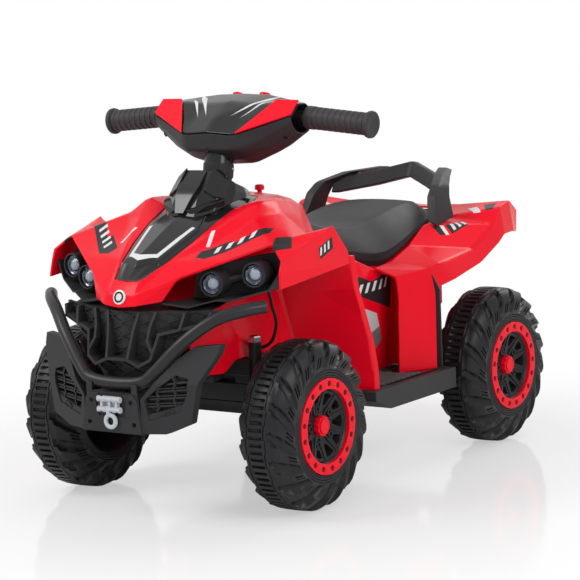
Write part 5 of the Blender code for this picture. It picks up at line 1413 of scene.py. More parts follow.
@dataclass(frozen=True)
class Honeycomb:
    """Raised lines of a stretched honeycomb on the grille's plate.

    Attributes:
        pitch: half the cells' width.
        row: height from row to row.
        peak: height of the zigzag.
        line: width of a line.
        proud: how far a line stands out.
        spread: half the width that is covered.
        low: lowest line's height.
        rows: number of rows.
    """

    pitch: float = 0.0140
    row: float = 0.0075
    peak: float = 0.0050
    line: float = 0.0012
    proud: float = 0.0015
    spread: float = 0.115
    low: float = 0.1560
    rows: int = 12

    PIECES: ClassVar[int] = 3
    NEAR_PLATE: ClassVar[float] = 0.0025
    ROOT: ClassVar[float] = 0.001

    def build(self) -> None:
        """Make the lines that lie on open plate."""
        tree = surface_of("grille")
        bm = bmesh.new()
        count = int(self.spread / self.pitch)
        for level in range(self.rows):
            base = self.low + level * self.row
            for k in range(-count, count):
                ends = [(j * self.pitch, base + ((j + level) % 2) * self.peak) for j in (k, k + 1)]
                self.bar(bm, tree, *ends)
                if (k + level) % 2:
                    top = (ends[0][0], ends[0][1] + self.row - self.peak)
                    self.bar(bm, tree, ends[0], top)
        dressed("grille_honeycomb", bm, BLACK_MATTE, "root", smooth=None)

    def bar(self, bm: bmesh.types.BMesh, tree: BVHTree, first: Flat, second: Flat) -> None:
        """One line between two points of the plate, where the plate is open."""
        for i in range(self.PIECES):
            a = [first[n] + (second[n] - first[n]) * i / self.PIECES for n in (0, 1)]
            b = [first[n] + (second[n] - first[n]) * (i + 1) / self.PIECES for n in (0, 1)]
            middle = (a[0] + b[0]) / 2
            hit = tree.ray_cast(Vector((middle, -0.6, (a[1] + b[1]) / 2)), Vector((0, 1, 0)))[0]
            if hit is None or abs(hit.y - grille_front(middle)) > self.NEAR_PLATE:
                continue
            run = Vector((b[0] - a[0], b[1] - a[1])).normalized()
            side = Vector((-run.y, run.x)) * self.line / 2
            rings = []
            for x, z in (a, b):
                low, high = grille_front(x) + self.ROOT, grille_front(x) - self.proud
                corners = ((low, 1.6), (high, 0.8), (high, -0.8), (low, -1.6))
                rings.append([Vector((x + side.x * s, y, z + side.y * s)) for y, s in corners])
            skin(bm, rings)


@dataclass(frozen=True)
class Tongue:
    """Raised six-sided panel on the hood insert, with its white stripe.

    Attributes:
        outline: right half of its edge, from the tip backwards.
        lift: height of the edge above the insert.
        crown: further height along the middle.
        middle: the place that the edge narrows towards.
    """

    outline: Profile = (
        (0.0, -0.2970), (0.0250, -0.2850), (0.0385, -0.2240), (0.0300, -0.1960), (0.0, -0.1900)
    )
    lift: float = 0.0030
    crown: float = 0.0015
    middle: float = -0.243

    ROUNDING: ClassVar[Rounding] = (0.0012, 8.0, 3)

    def build(self) -> None:
        """Make the panel."""
        tree = surface_of("hood_cover")
        right = list(self.outline)
        edge = right + [(-x, y) for x, y in reversed(right[1:-1])]
        bm = bmesh.new()
        levels = []
        for grow, rise in ((1.04, -0.0015), (1.0, self.lift - 0.0008), (0.96, self.lift)):
            places = [(x * grow, self.middle + (y - self.middle) * grow) for x, y in edge]
            levels.append([bm.verts.new(self.raised(tree, x, y, rise)) for x, y in places])
        walls(bm, levels)
        high = self.lift + self.crown
        inside = [bm.verts.new(self.raised(tree, 0.0, y, high)) for _, y in self.outline[1:-1]]
        top = levels[-1]
        spine = [top[0], *inside, top[len(right) - 1]]
        for i in range(len(spine) - 1):
            for corners in (
                (spine[i], top[i], top[i + 1], spine[i + 1]),
                (spine[i], spine[i + 1], top[-i - 1], top[-i]),
            ):
                bm.faces.new(list(dict.fromkeys(corners)))
        bmesh.ops.remove_doubles(bm, verts=bm.verts, dist=0.00001)
        dressed("hood_tongue", bm, HOOD_PRINT, "root", smooth=30.0, rounding=self.ROUNDING)

    def raised(self, tree: BVHTree, x: float, y: float, rise: float) -> Vector:
        """Point above the insert's surface."""
        hit = tree.ray_cast(Vector((x, y, 0.5)), Vector((0, 0, -1)))[0]
        return hit + Vector((0, 0, rise))


@dataclass(frozen=True)
class Panel:
    """Thin panel given by rows of points for the quad's left half, mirrored to the right.

    Attributes:
        name: the piece's name.
        rows: rows of points from the middle outwards, from front to back.
        depth: its thickness.
        finish: its finish.
    """

    name: str
    rows: tuple[tuple[Point, ...], ...]
    depth: float
    finish: Finish

    ROUNDING: ClassVar[Rounding] = (0.0006, 30.0, 2)

    def build(self) -> None:
        """Make the panel."""
        bm = bmesh.new()
        grid = []
        for row in self.rows:
            whole = [(-x, y, z) for x, y, z in reversed(row[1:])] + list(row)
            grid.append([bm.verts.new(p) for p in whole])
        for low, high in zip(grid, grid[1:]):
            for i in range(len(low) - 1):
                bm.faces.new((low[i], low[i + 1], high[i + 1], high[i]))
        bmesh.ops.solidify(bm, geom=list(bm.faces), thickness=self.depth)
        dressed(self.name, bm, self.finish, "root", smooth=40.0, rounding=self.ROUNDING)


@dataclass(frozen=True)
class Vane:
    """Pointed vane on a panel's side, on both sides of the quad.

    Attributes:
        name: the pieces' name.
        base: corners on the panel.
        crest: raised points above them.
        finish: its finish.
        whole: whether both sides make one piece across the middle.
    """

    name: str
    base: tuple[Point, ...]
    crest: tuple[Point, ...]
    finish: Finish
    whole: bool = False

    ROUNDING: ClassVar[Rounding] = (0.0008, 20.0, 2)

    def build(self) -> None:
        """Make both vanes, or the one across the middle."""
        for side in (Side.LEFT,) if self.whole else Side:
            bm = bmesh.new()
            for x, y, z in self.base + self.crest:
                for sign in (side.value, -side.value)[: 2 if self.whole else 1]:
                    bm.verts.new((sign * x, y, z))
            hull = bmesh.ops.convex_hull(bm, input=list(bm.verts))
            inside = [v for v in hull["geom_interior"] if isinstance(v, bmesh.types.BMVert)]
            bmesh.ops.delete(bm, geom=inside, context="VERTS")
            bmesh.ops.dissolve_limit(bm, angle_limit=0.02, verts=list(bm.verts), edges=list(bm.edges))
            name = f"{self.name}_{side.word}"
            dressed(name, bm, self.finish, "root", smooth=40.0, rounding=self.ROUNDING)


@dataclass(frozen=True)
class Neck:
    """Glossy neck between the column's collar and the steering head.

    Attributes:
        foot: where it starts along the steering axis.
        length: its length.
        radius: its radius.
    """

    foot: float = 0.2965
    length: float = 0.0175
    radius: float = 0.0178

    FOOT_STEPS: ClassVar[Profile] = ((0.0, -0.0030), (0.0, -0.0008), (0.0008, 0.0))
    TOP_STEPS: ClassVar[Profile] = ((-0.0010, -0.0008), (0.0, -0.0016), (0.0, -0.0050))

    def build(self) -> None:
        """Make the neck on the steering axis."""
        joints = frame["record"]["behaviour"]["joints"]
        hinge = next(joint for joint in joints if joint["name"] == "steering_turn")
        top = self.foot + self.length
        profile = [(self.foot + at, self.radius + rise) for at, rise in self.FOOT_STEPS]
        profile += [(top + at, self.radius + rise) for at, rise in self.TOP_STEPS]
        neck = turned(Vector(hinge["pos_m"]), Vector(hinge["axis"]), profile, 64, False)
        dressed("head_neck", neck, BLACK_GLOSS, "steering")


@dataclass(frozen=True)
class Screw:
    """Pan-head screw.

    Attributes:
        name: its name.
        centre: middle of its seat.
        facing: the way it looks.
        finish: its finish.
        radius: its head's radius.
    """

    name: str
    centre: Point
    facing: Point
    finish: Finish
    radius: float = 0.0024

    PROFILE: ClassVar[Profile] = (
        (-0.0010, 1.0), (0.0005, 1.0), (0.0011, 0.85), (0.0013, 0.42), (0.0005, 0.36), (0.0004, 0.05)
    )

    def build(self) -> None:
        """Make the head with its socket."""
        profile = scaled(self.radius, self.PROFILE)
        head = turned(Vector(self.centre), Vector(self.facing), profile, 24, False)
        dressed(self.name, head, self.finish, "steering")


@dataclass(frozen=True)
class Guard:
    """Louvres, upright ribs and corner panels in the windows of the bumper's wings.

    Attributes:
        root: how far ahead of the axle the inner end of a wing's face lies.
        sweep: how far the face falls back for each metre outwards.
        inner: where the face starts.
        window: the window's outline, outwards and up from the axle.
        levels: heights of the added louvres.
        ribs: how far out the upright ribs stand and how high they reach.
        corner: outline of the corner panel.
        chevron: path of the raised chevron.
    """

    root: float = -0.1560
    sweep: float = 0.28
    inner: float = 0.0405
    window: Profile = (
        (0.062, 0.062), (0.081, 0.076), (0.0963, 0.0725), (0.0955, 0.0555),
        (0.087, 0.034), (0.050, 0.023), (0.045, 0.047),
    )
    levels: tuple[float, ...] = (0.0424, 0.0512, 0.0601)
    ribs: Profile = ((0.0600, 0.0660), (0.0800, 0.0745))
    corner: Profile = ((0.0480, 0.0300), (0.0905, 0.0430), (0.0868, 0.0342), (0.0502, 0.0233))
    chevron: Profile = ((0.0665, 0.0305), (0.0700, 0.0345), (0.0760, 0.0362), (0.0800, 0.0345))

    # Raised lines: their width, and how far behind the wing's face their front and foot lie
    LOUVRE: ClassVar[tuple[float, Flat]] = (0.0016, (0.0028, 0.0090))
    RIB: ClassVar[tuple[float, Flat]] = (0.0018, (0.0020, 0.0090))
    RIDGE: ClassVar[tuple[float, Flat]] = (0.0018, (-0.0004, 0.0030))

    CLIMB: ClassVar[float] = 0.003
    RIB_FOOT: ClassVar[float] = 0.034
    RIB_STEPS: ClassVar[int] = 6
    ZIGZAG: ClassVar[float] = 0.0013
    CORNER_DEPTHS: ClassVar[Flat] = (0.0014, 0.0095)

    def spot(self, side: Side, x: float, z: float, depth: float) -> Vector:
        """Point behind the face of a wing."""
        y = self.root + self.sweep * (x - self.inner) + depth
        return FRONT_AXLE + Vector((side.value * x, y, z))

    def strip(
        self, bm: bmesh.types.BMesh, side: Side, path: Sequence[Flat], width: float, depths: Flat
    ) -> None:
        """Raised line along a path.

        Args:
            bm: the mesh to add to.
            side: side of the quad.
            path: its points, outwards and up.
            width: its width.
            depths: how far behind the wing's face its front and its foot lie.
        """
        near, far = depths
        for a, b in zip(path, path[1:]):
            run = (Vector(b) - Vector(a)).normalized()
            across = Vector((-run.y, run.x)) * width / 2
            rings = []
            for x, z in (a, b):
                rings.append([
                    self.spot(side, x + across.x * share, z + across.y * share, depth)
                    for depth, share in ((far, 1.4), (near, 0.9), (near, -0.9), (far, -1.4))
                ])
            skin(bm, rings)

    def reach(self, level: float) -> Flat:
        """Where the window starts and ends at a height."""
        hits = []
        for (x0, z0), (x1, z1) in zip(self.window, self.window[1:] + self.window[:1]):
            if (z0 - level) * (z1 - level) < 0:
                hits.append(x0 + (x1 - x0) * (level - z0) / (z1 - z0))
        return min(hits), max(hits)

    def build(self) -> None:
        """Make both windows' pieces."""
        for side in Side:
            bm = bmesh.new()
            for level in self.levels:
                inner, outer = self.reach(level)
                self.strip(bm, side, ((inner, level), (outer, level + self.CLIMB)), *self.LOUVRE)
            for x, top in self.ribs:
                tall = top - self.RIB_FOOT
                steps = [self.RIB_FOOT + tall * i / self.RIB_STEPS for i in range(self.RIB_STEPS + 1)]
                path = [(x + (self.ZIGZAG if i % 2 else -self.ZIGZAG), z) for i, z in enumerate(steps)]
                self.strip(bm, side, path, *self.RIB)
            self.strip(bm, side, self.chevron, *self.RIDGE)
            skin(bm, [[self.spot(side, x, z, depth) for x, z in self.corner] for depth in self.CORNER_DEPTHS])
            dressed(f"wing_grating_{side.word}", bm, BLACK_MATTE, "root", smooth=30.0)


@dataclass(frozen=True)
class Winch:
    """Winch fairlead with two flanged rollers, the tow hook below it and the plate's raised frame.

    Attributes:
        face: how far ahead of the axle the bumper's plate lies.
        half: half the rollers' length.
        levels: heights of the rollers above the axle.
        core: radius of a roller between its flanges.
        flange: radius of a flange.
        hook: how far out and how high the middle of the hook's eye lies.
        eye: middle radius of the hook's eye and of its bar.
        outer: outline of the plate's frame, outwards and up.
        inner: outline of its opening.
        bolts: places of its bolt holes.
        bolt: radius of a bolt hole.
    """

    face: float = -0.1573
    half: float = 0.0163
    levels: Flat = (0.0345, 0.0465)
    core: float = 0.0027
    flange: float = 0.0036
    hook: Flat = (0.0010, 0.0212)
    eye: Flat = (0.0070, 0.0026)
    outer: Profile = ((0.0310, 0.0530), (0.0372, 0.0455), (0.0428, 0.0080))
    inner: Profile = ((0.0165, 0.0535), (0.0225, 0.0440), (0.0180, 0.0265))
    bolts: Profile = ((0.0285, 0.0435), (0.0320, 0.0180))
    bolt: float = 0.0029

    STANDS: ClassVar[float] = 0.0038
    FLANGES: ClassVar[tuple[float, ...]] = (-0.0070, 0.0070)
    FLANGE_HALF: ClassVar[Flat] = (0.0010, 0.0015)
    END_FLANGE: ClassVar[Flat] = (0.0020, 0.0025)
    ROUNDING: ClassVar[Rounding] = (0.0004, 50.0, 2)

    # Blocks of the housing: their two ends, how far they stand out and how far they pass the rollers
    BACK_PLATE: ClassVar[tuple[float, ...]] = (-0.0120, 0.0120, 0.0014, 0.003)
    CHEEK: ClassVar[tuple[float, ...]] = (0.0092, 0.0122, 0.0058, 0.0)
    TIE: ClassVar[tuple[float, ...]] = (-0.0018, 0.0018, 0.0050, 0.0)

    # Frame of the plate
    FRAME_DEPTHS: ClassVar[Flat] = (-0.0004, 0.0012)
    FRAME_ROUNDING: ClassVar[Rounding] = (0.0005, 40.0, 2)
    DRILL: ClassVar[float] = 0.005

    def spot(self, x: float, depth: float, z: float) -> Vector:
        """Point in front of the plate."""
        return FRONT_AXLE + Vector((x, self.face - depth, z))

    def rollers(self, bm: bmesh.types.BMesh) -> None:
        """Both rollers, each with four flanges."""
        r, f, h = self.core, self.flange, self.half
        flat, foot = self.END_FLANGE
        near, far = self.FLANGE_HALF
        profile = [(-h, f), (-h + flat, f), (-h + foot, r)]
        for middle in self.FLANGES:
            profile += [(middle - far, r), (middle - near, f), (middle + near, f), (middle + far, r)]
        profile += [(h - foot, r), (h - flat, f), (h, f)]
        for level in self.levels:
            seat = self.spot(0.0, self.STANDS, level)
            join(bm, turned(seat, Vector((1.0, 0.0, 0.0)), profile, 24, False))

    def housing(self, bm: bmesh.types.BMesh) -> None:
        """Back plate, cheeks and the tie between the rollers."""
        low, high = self.levels
        for x0, x1, depth, rise in (self.BACK_PLATE, self.CHEEK, self.TIE):
            for sign in (1, -1)[: 2 if x0 > 0 else 1]:
                left, right = sorted((sign * x0, sign * x1))
                join(bm, block(self.spot(left, depth, low - rise), self.spot(right, 0.0, high + rise)))

    def tow_hook(self, bm: bmesh.types.BMesh) -> None:
        """Hook's eye and the shank that hangs it from the lower roller."""
        x, z = self.hook
        major, minor = self.eye
        turns = [2 * math.pi * i / 12 for i in range(12)]
        profile = [(minor * math.cos(turn), major + minor * math.sin(turn)) for turn in turns]
        join(bm, turned(self.spot(x, 0.0040, z), Vector((0.0, 1.0, 0.0)), profile, 36))
        foot = self.spot(x - 0.0020, 0.0042, z + major - 0.0010)
        head = self.spot(x - 0.0045, 0.0040, self.levels[0] + 0.0040)
        shank = ((0.0, minor * 0.8), (0.0010, minor), ((head - foot).length, minor))
        join(bm, turned(foot, head - foot, shank, 16, False))

    def frame_plate(self) -> bpy.types.Object:
        """Raised frame with its bolt holes."""
        outlines = []
        for outline in (self.outer, self.inner):
            outlines.append(list(outline) + [(-x, z) for x, z in reversed(outline)])
        outer, inner = outlines
        foot, face = self.FRAME_DEPTHS
        levels = ((outer, foot), (outer, face), (inner, face), (inner, foot))
        bm = bmesh.new()
        skin(bm, [[self.spot(x, depth, z) for x, z in outline] for outline, depth in levels], loop=True)
        holes = bmesh.new()
        for side in Side:
            for x, z in self.bolts:
                rod = ((-self.DRILL, self.bolt), (self.DRILL, self.bolt))
                seat = self.spot(side.value * x, 0.0, z)
                join(holes, turned(seat, Vector((0.0, 1.0, 0.0)), rod, 24, False))
        return cut_out(from_bmesh("plate_frame", bm, 30.0), holes)

    def build(self) -> None:
        """Make the fairlead with its hook, and the frame."""
        bm = bmesh.new()
        self.rollers(bm)
        self.housing(bm)
        self.tow_hook(bm)
        dressed("winch_fairlead", bm, GREY, "root", "winch_hook", smooth=40.0, rounding=self.ROUNDING)
        finished(bevelled(self.frame_plate(), *self.FRAME_ROUNDING), BLACK_MATTE, "root")


@dataclass(frozen=True)
class Mat:
    """Tread on a running board: a thin glossy plate, and slanting ribs on it as a second piece; the ribs'
    lighter colour is a painted highlight on their tops, and the plate's darker colour is painted shade in the
    grooves between them.

    Attributes:
        side: its side.
        outline: convex outline, outwards and backwards.
        floor: height of the board.
        plate: thickness of the plate.
        rib: height of a rib.
        pitch: distance from rib to rib.
        slant: direction of the ribs, outwards and backwards.
    """

    side: Side
    outline: Profile
    floor: float = 0.1150
    plate: float = 0.0007
    rib: float = 0.0024
    pitch: float = 0.0095
    slant: Flat = (0.80, 0.60)

    SUNK: ClassVar[float] = 0.0002
    RIB_SUNK: ClassVar[float] = 0.0001
    SHORTEST: ClassVar[float] = 0.008
    MARGIN: ClassVar[float] = 0.002
    RIB_FOOT: ClassVar[float] = 0.30
    RIB_TOP: ClassVar[float] = 0.22
    ROUNDING: ClassVar[Rounding] = (0.0004, 40.0, 2)

    def build(self) -> None:
        """Make the tread."""
        bm = bmesh.new()
        levels = (self.floor - self.SUNK, self.floor + self.plate)
        skin(bm, [[Vector((self.side.value * x, y, z)) for x, y in self.outline] for z in levels])
        # Darker gloss black plate: painted shade in the grooves between the ribs.
        dressed(f"board_tread_{self.side.word}", bm, BLACK_GLOSS, "root", smooth=30.0)
        bm = bmesh.new()
        normal = (-self.slant[1], self.slant[0])
        offsets = [x * normal[0] + y * normal[1] for x, y in self.outline]
        count = int((max(offsets) - min(offsets)) / self.pitch)
        for i in range(count):
            self.line(bm, min(offsets) + (i + 0.5) * self.pitch, normal)
        name = f"tread_ribs_{self.side.word}"
        # Ribs in the lighter finish: painted highlight on their tops.
        dressed(name, bm, RIB_HIGHLIGHT_BLACK, "root", smooth=30.0, rounding=self.ROUNDING)

    def line(self, bm: bmesh.types.BMesh, offset: float, normal: Flat) -> None:
        """One rib, cut at the outline.

        Args:
            bm: the mesh to add to.
            offset: how far across the ribs it lies.
            normal: direction across the ribs.
        """
        hits = []
        for (ax, ay), (bx, by) in zip(self.outline, self.outline[1:] + self.outline[:1]):
            a = ax * normal[0] + ay * normal[1] - offset
            b = bx * normal[0] + by * normal[1] - offset
            if a * b < 0:
                share = a / (a - b)
                hits.append(Vector((ax + (bx - ax) * share, ay + (by - ay) * share)))
        if len(hits) < 2 or (hits[1] - hits[0]).length < self.SHORTEST:
            return
        hits.sort(key=lambda hit: hit.x)
        run = (hits[1] - hits[0]).normalized()
        across = Vector(normal) * self.pitch
        level = self.floor + self.plate - self.RIB_SUNK
        foot, top = self.RIB_FOOT, self.RIB_TOP
        corners = ((0.0, foot), (self.rib, top), (self.rib, -top), (0.0, -foot))
        rings = []
        for end in (hits[0] + run * self.MARGIN, hits[1] - run * self.MARGIN):
            flat = [(end + across * share, rise) for rise, share in corners]
            rings.append([Vector((self.side.value * p.x, p.y, level + rise)) for p, rise in flat])
        skin(bm, rings)


@dataclass(frozen=True)
class Badge:
    """Plain round badge on the nose.

    Attributes:
        centre: its middle.
        facing: the way it looks.
        radius: its radius.
    """

    centre: Point = (0.0, -0.3284, 0.2605)
    facing: Point = (0.0, -0.96, 0.27)
    radius: float = 0.0085

    DISC: ClassVar[Profile] = ((-0.001, 1.0), (0.0005, 1.0), (0.0008, 0.94), (0.0009, 0.1))
    RING: ClassVar[Profile] = ((0.0, 0.52), (0.0012, 0.52), (0.0012, 0.76), (0.0, 0.76))

    def build(self) -> None:
        """Make the badge with a dark ring set into it."""
        centre, along = Vector(self.centre), Vector(self.facing)
        disc = turned(centre, along, scaled(self.radius, self.DISC), 48, False)
        dressed("nose_badge", disc, BADGE_WHITE, "root")
        dark = turned(centre, along, scaled(self.radius, self.RING), 48)
        dressed("badge_ring", dark, BLACK_GLOSS, "root")


def mark(colour: Colour, where: dict[str, Any], *corners: Flat) -> Mark:
    """Printed shape by its corners."""
    return Mark(corners, colour, **where)


def slashes(
    where: dict[str, Any], origin: Flat, along: Flat, count: int, step: float, size: Flat, lean: float
) -> tuple[Mark, ...]:
    """Row of slanted white bars on a dark ground.

    Args:
        where: the marks' axes and gate.
        origin: the first bar's corner.
        along: direction of the row.
        count: number of bars.
        step: distance from bar to bar.
        size: a bar's width and height.
        lean: how far a bar's top is shifted along the row.

    Returns:
        The marks.
    """
    length = math.hypot(*along)
    u = (along[0] / length, along[1] / length)
    v = (-u[1], u[0])
    wide, tall = size
    row = []
    for i in range(count):
        start = i * step
        corners = ((start, 0.0), (start + wide, 0.0), (start + wide + lean, tall), (start + lean, tall))
        points = [(origin[0] + u[0] * a + v[0] * b, origin[1] + u[1] * a + v[1] * b) for a, b in corners]
        row.append(mark(WHITE, where, *points))
    return tuple(row)


# Which coordinates a print is drawn in, and outside which place it is left out
PLAIN = {"axes": "xy"}
TOP = {"axes": "xy", "gate": ("z", 0.262, 0.345)}
TAIL_TOP = {"axes": "xy", "gate": ("z", 0.262, 0.330)}
FLAP = {"axes": "yz", "gate": ("x", 0.166, 0.180)}
TUNNEL = {"axes": "yz", "gate": ("x", 0.085, 0.108)}

FAIRING_PRINT = replace(
    RED,
    name="red_fairing_printed",
    marks=(
        mark(INK_DARK, TOP, (0.0640, -0.2640), (0.0760, -0.2660), (0.1290, -0.2080), (0.1235, -0.1900)),
        mark(INK_DARK, TOP, (0.0610, -0.2500), (0.0640, -0.2660), (0.0920, -0.2400), (0.0880, -0.2230)),
        mark(WHITE, TOP, (0.0545, -0.2180), (0.0590, -0.2170), (0.0655, -0.2390), (0.0615, -0.2405)),
        mark(INK_DARK, TOP, (0.1500, -0.1930), (0.1400, -0.2110), (0.1520, -0.2395), (0.1650, -0.2160)),
        *slashes(TOP, (0.0800, -0.2520), (0.0550, 0.0560), 4, 0.0140, (0.0060, 0.0110), 0.0070),
        mark(INK_DARK, FLAP, (-0.1700, 0.3040), (-0.1420, 0.3140), (-0.1400, 0.3000), (-0.1660, 0.2900)),
        *slashes(FLAP, (-0.1660, 0.2940), (0.0260, 0.0095), 3, 0.0080, (0.0036, 0.0090), 0.0030),
    ),
)
TUNNEL_PRINT = replace(
    RED,
    name="red_tunnel_printed",
    marks=(
        mark(INK_DARK, TUNNEL, (0.0070, 0.2480), (0.0520, 0.2310), (0.0520, 0.2065), (0.0080, 0.2230)),
        mark(INK_DARK, TUNNEL, (0.0520, 0.2310), (0.1050, 0.2410), (0.1010, 0.1900), (0.0520, 0.2065)),
        mark(INK_PALE, TUNNEL, (0.0180, 0.2060), (0.0640, 0.1890), (0.0700, 0.1720), (0.0320, 0.1560)),
        mark(INK_GREY, TUNNEL, (0.0320, 0.1560), (0.0700, 0.1720), (0.0780, 0.1530), (0.0400, 0.1210)),
        *slashes(TUNNEL, (0.0250, 0.2170), (0.0700, 0.0030), 5, 0.0140, (0.0060, 0.0120), 0.0060),
    ),
)
TAIL_PRINT = replace(
    RED,
    name="red_tail_printed",
    marks=(
        mark(INK_DARK, TAIL_TOP, (0.1015, 0.1965), (0.1160, 0.1925), (0.1215, 0.1985), (0.1080, 0.2045)),
        mark(WHITE, TAIL_TOP, (0.1080, 0.2045), (0.1215, 0.1985), (0.1245, 0.2020), (0.1115, 0.2085)),
        mark(INK_DARK, TAIL_TOP, (0.1130, 0.2110), (0.1265, 0.2060), (0.1345, 0.2340), (0.1215, 0.2400)),
        *slashes(TAIL_TOP, (0.1255, 0.2120), (0.0140, 0.0480), 3, 0.0095, (0.0045, 0.0115), 0.0025),
        mark(WHITE, TAIL_TOP, (0.1080, 0.2790), (0.1265, 0.2615), (0.1352, 0.2650), (0.1180, 0.2850)),
        mark(INK_DARK, TAIL_TOP, (0.1400, 0.2689), (0.1490, 0.2730), (0.1400, 0.3000), (0.1240, 0.2930)),
    ),
)
HOOD_PRINT = replace(
    BLACK_GLOSS,
    name="black_tongue_printed",
    marks=(
        mark(WHITE, PLAIN, (-0.001, -0.2915), (0.0210, -0.2800), (0.0185, -0.2750), (-0.001, -0.2855)),
        mark(WHITE, PLAIN, (0.0210, -0.2800), (0.0335, -0.2220), (0.0290, -0.2215), (0.0170, -0.2755)),
    ),
)
DOME_PRINT = replace(
    BLACK_GLOSS,
    name="black_dome_printed",
    marks=(
        mark(WHITE, PLAIN, (0.0180, -0.1210), (0.0520, -0.0820), (0.0600, -0.0680), (0.0460, -0.0780)),
        mark(WHITE, PLAIN, (0.0310, -0.1200), (0.0560, -0.0920), (0.0590, -0.0860), (0.0480, -0.0950)),
    ),
)

BULL_BAR = Tube(
    "bull_bar_tube",
    "bull_bar",
    (
        (0.0, -0.1475, 0.063), (0.036, -0.1465, 0.066), (0.052, -0.1430, 0.077), (0.085, -0.1290, 0.112),
        (0.115, -0.1080, 0.136), (0.140, -0.0860, 0.145), (0.157, -0.0660, 0.148),
    ),
    0.0075,
    BAR_BLACK,
    both=True,
)
LAMP_LEAD = Tube(
    "lamp_lead_sleeve",
    "lamp_lead_left",
    (
        (0.120, -0.0145, 0.170), (0.119, -0.004, 0.152), (0.114, 0.008, 0.135), (0.112, 0.018, 0.115),
        (0.104, 0.022, 0.095), (0.092, 0.026, 0.085), (0.0781, 0.028, 0.080),
    ),
    0.0020,
    LEAD,
)


def return_row(back: float) -> tuple[Point, ...]:
    """Row of the grille's return: 0 is its front edge and 1 its back edge."""
    columns = (0.0, 0.02, 0.04, 0.06, 0.08, 0.10)
    height = 0.2440 + 0.006 * back
    return tuple((x, grille_front(x) + 0.0015 + back * (0.048 - 0.16 * x), height) for x in columns)


GRILLE_RETURN = Panel("grille_return", (return_row(0.0), return_row(1.0)), 0.0012, BLACK_MATTE)
SEAT_PAN = Panel(
    "seat_pan",
    (
        ((0.0, 0.0900, 0.2660), (0.0400, 0.0950, 0.2480), (0.0900, 0.1050, 0.2380)),
        ((0.0, 0.1450, 0.2520), (0.0500, 0.1450, 0.2500), (0.0960, 0.1450, 0.2480)),
        ((0.0, 0.1900, 0.2650), (0.0500, 0.1900, 0.2640), (0.0990, 0.1900, 0.2620)),
        ((0.0, 0.2350, 0.2760), (0.0500, 0.2350, 0.2760), (0.0960, 0.2350, 0.2740)),
        ((0.0, 0.2700, 0.2820), (0.0450, 0.2700, 0.2820), (0.0800, 0.2700, 0.2810)),
        ((0.0, 0.3120, 0.2905), (0.0450, 0.3120, 0.2900), (0.0780, 0.3080, 0.2890)),
    ),
    0.0020,
    RED,
)

COWL_VANES = (
    Vane(
        "cowl_beak",
        (
            (0.0072, -0.2000, 0.3476), (0.0280, -0.1830, 0.3566), (0.0400, -0.1690, 0.3590),
            (0.0182, -0.2020, 0.3404), (0.0299, -0.1900, 0.3444), (0.0420, -0.1720, 0.3500),
        ),
        ((0.0085, -0.2062, 0.3462), (0.0330, -0.1950, 0.3525), (0.0440, -0.1760, 0.3570)),
        BLACK_GLOSS,
    ),
    Vane(
        "cowl_horn",
        (
            (0.0190, -0.1785, 0.3680), (0.0290, -0.1790, 0.3570), (0.0390, -0.1670, 0.3560),
            (0.0390, -0.1500, 0.3680), (0.0280, -0.1480, 0.3830),
        ),
        (
            (0.0190, -0.1615, 0.3930), (0.0250, -0.1550, 0.3900), (0.0345, -0.1600, 0.3810),
            (0.0205, -0.1840, 0.3690), (0.0350, -0.1800, 0.3610),
        ),
        BLACK_GLOSS,
    ),
    Vane(
        "cowl_shield",
        ((0.0060, -0.2000, 0.3440), (0.0120, -0.1850, 0.3640), (0.0100, -0.1600, 0.3860)),
        (
            (0.0065, -0.2085, 0.3430), (0.0130, -0.1965, 0.3640),
            (0.0150, -0.1850, 0.3745), (0.0115, -0.1640, 0.3900),
        ),
        BLACK_GLOSS,
        whole=True,
    ),
)


def upright_plate(name: str, finish: Finish, *corners: Point) -> Vane:
    """Plate across the quad, given by its front corners."""
    return Vane(name, corners, tuple((x, y + 0.0025, z) for x, y, z in corners), finish)


ARCH_LINERS = (
    upright_plate(
        "arch_wall", RED,
        (0.0780, 0.1140, 0.1156), (0.1500, 0.1140, 0.1156),
        (0.1480, 0.1120, 0.2380), (0.0780, 0.1120, 0.2400),
    ),
    upright_plate(
        "arch_liner", BLACK_MATTE,
        (0.1502, 0.1140, 0.1156), (0.1610, 0.1140, 0.1156),
        (0.1600, 0.1145, 0.2150), (0.1484, 0.1120, 0.2380),
    ),
)
SCREWS = (
    Screw("collar_screw", (0.0176, -0.1195, 0.3870), (0.95, 0.30, -0.05), ZINC),
    Screw("cover_screw_front", (-0.0009, -0.1449, 0.4126), (-0.03, -1.0, -0.07), BLACK_STEEL, 0.0030),
    Screw("cover_screw_left", (0.0895, -0.1090, 0.4263), (0.5, -0.7, -0.5), BLACK_STEEL, 0.0030),
    Screw("cover_screw_right", (-0.0895, -0.1090, 0.4263), (-0.5, -0.7, -0.5), BLACK_STEEL, 0.0030),
)
BOARD_BACK = ((0.1580, 0.1060), (0.1270, 0.0560), (0.0900, 0.0560))
LEFT_TREAD = ((0.0900, -0.0600), (0.1160, -0.0440), (0.1580, -0.0320), *BOARD_BACK)
RIGHT_TREAD = ((0.0900, 0.0400), (0.1580, 0.0400), *BOARD_BACK)


def pair(node: str, *sizes: float, **more: float) -> list[Moulding]:
    """The same rounding for a left and a right node, by Moulding's own sizes."""
    return [Moulding(f"{node}_{side.word}", *sizes, **more) for side in Side]


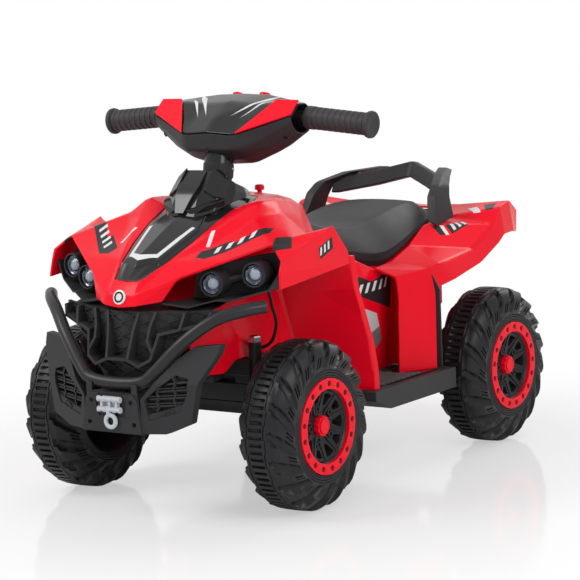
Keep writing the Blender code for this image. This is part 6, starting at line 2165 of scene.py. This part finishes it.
ROUNDED = (
    Moulding("front_fairing", 0.0045, 10.0, FAIRING_PRINT),
    Moulding("rear_fairing", 0.0045, 10.0, TAIL_PRINT),
    Moulding("main_body", 0.0045, 10.0, TUNNEL_PRINT),
    *pair("leg_shield", 0.0030, 10.0),
    Moulding("hood_cover", 0.0020, 9.0),
    Moulding("cowl", 0.0018, 9.0),
    Moulding("head_upper_cover", 0.0060, 6.0, DOME_PRINT, segments=4),
    Moulding("head_lower_cover", 0.0060, 8.0, segments=4),
    *pair("head_trim", 0.0012, 10.0),
    Moulding("backrest", 0.0040, 14.0, rim=0.0022),
    Moulding("bumper", 0.0012, 14.0),
    Moulding("grille", 0.0006, 20.0, rim=0.0004, segments=2),
    *pair("lamp_bezel", 0.0010, 12.0),
    *pair("lamp_pod", 0.0006, 30.0, rim=0.0005),
    Moulding("chassis_tray", 0.0015, 14.0, rim=0.0012),
    Moulding("accelerator_pedal", 0.0012, 14.0, rim=0.0010),
    Moulding("column_collar", 0.0006, 40.0),
    Moulding("front_axle", 0.0010, 30.0),
    Moulding("switch_housing", 0.0010, 30.0),
    Moulding("horn_button", 0.0006, 30.0),
    Moulding("music_button", 0.0006, 30.0),
    Moulding("direction_switch", 0.0006, 30.0),
)


def plain_nodes(done: set[str]) -> None:
    """Give every construction node that is still shown its own finish.

    Args:
        done: nodes that a piece already stands for.
    """
    for name, obj in frame["nodes"].items():
        if name in done or obj.hide_render:
            continue
        obj.data.materials.clear()
        obj.data.materials.append(SLOT_FINISH[slot_of(name)].material())
        log.info("%s keeps its construction shape", name)


def main() -> None:
    """Build the studio and every sub-assembly in order."""
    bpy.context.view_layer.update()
    Studio().build()
    for moulding in ROUNDED:
        moulding.build()
    for end in End:
        for side in Side:
            Wheel(end, side).build()
    for side in Side:
        Grip(side).build()
        for place in ("inner", "outer"):
            Lamp(side, place).build()
    for piece in (Saddle(), BULL_BAR, LAMP_LEAD, Honeycomb(), Tongue(), Badge(), GRILLE_RETURN, SEAT_PAN):
        piece.build()
    for piece in (*COWL_VANES, Neck(), *SCREWS, Guard(), Winch(), *ARCH_LINERS):
        piece.build()
    Mat(Side.LEFT, LEFT_TREAD).build()
    Mat(Side.RIGHT, RIGHT_TREAD).build()
    plain_nodes({moulding.node for moulding in ROUNDED})


if __name__ == "__main__":
    logging.basicConfig(level=logging.INFO, format="%(message)s")
    main()
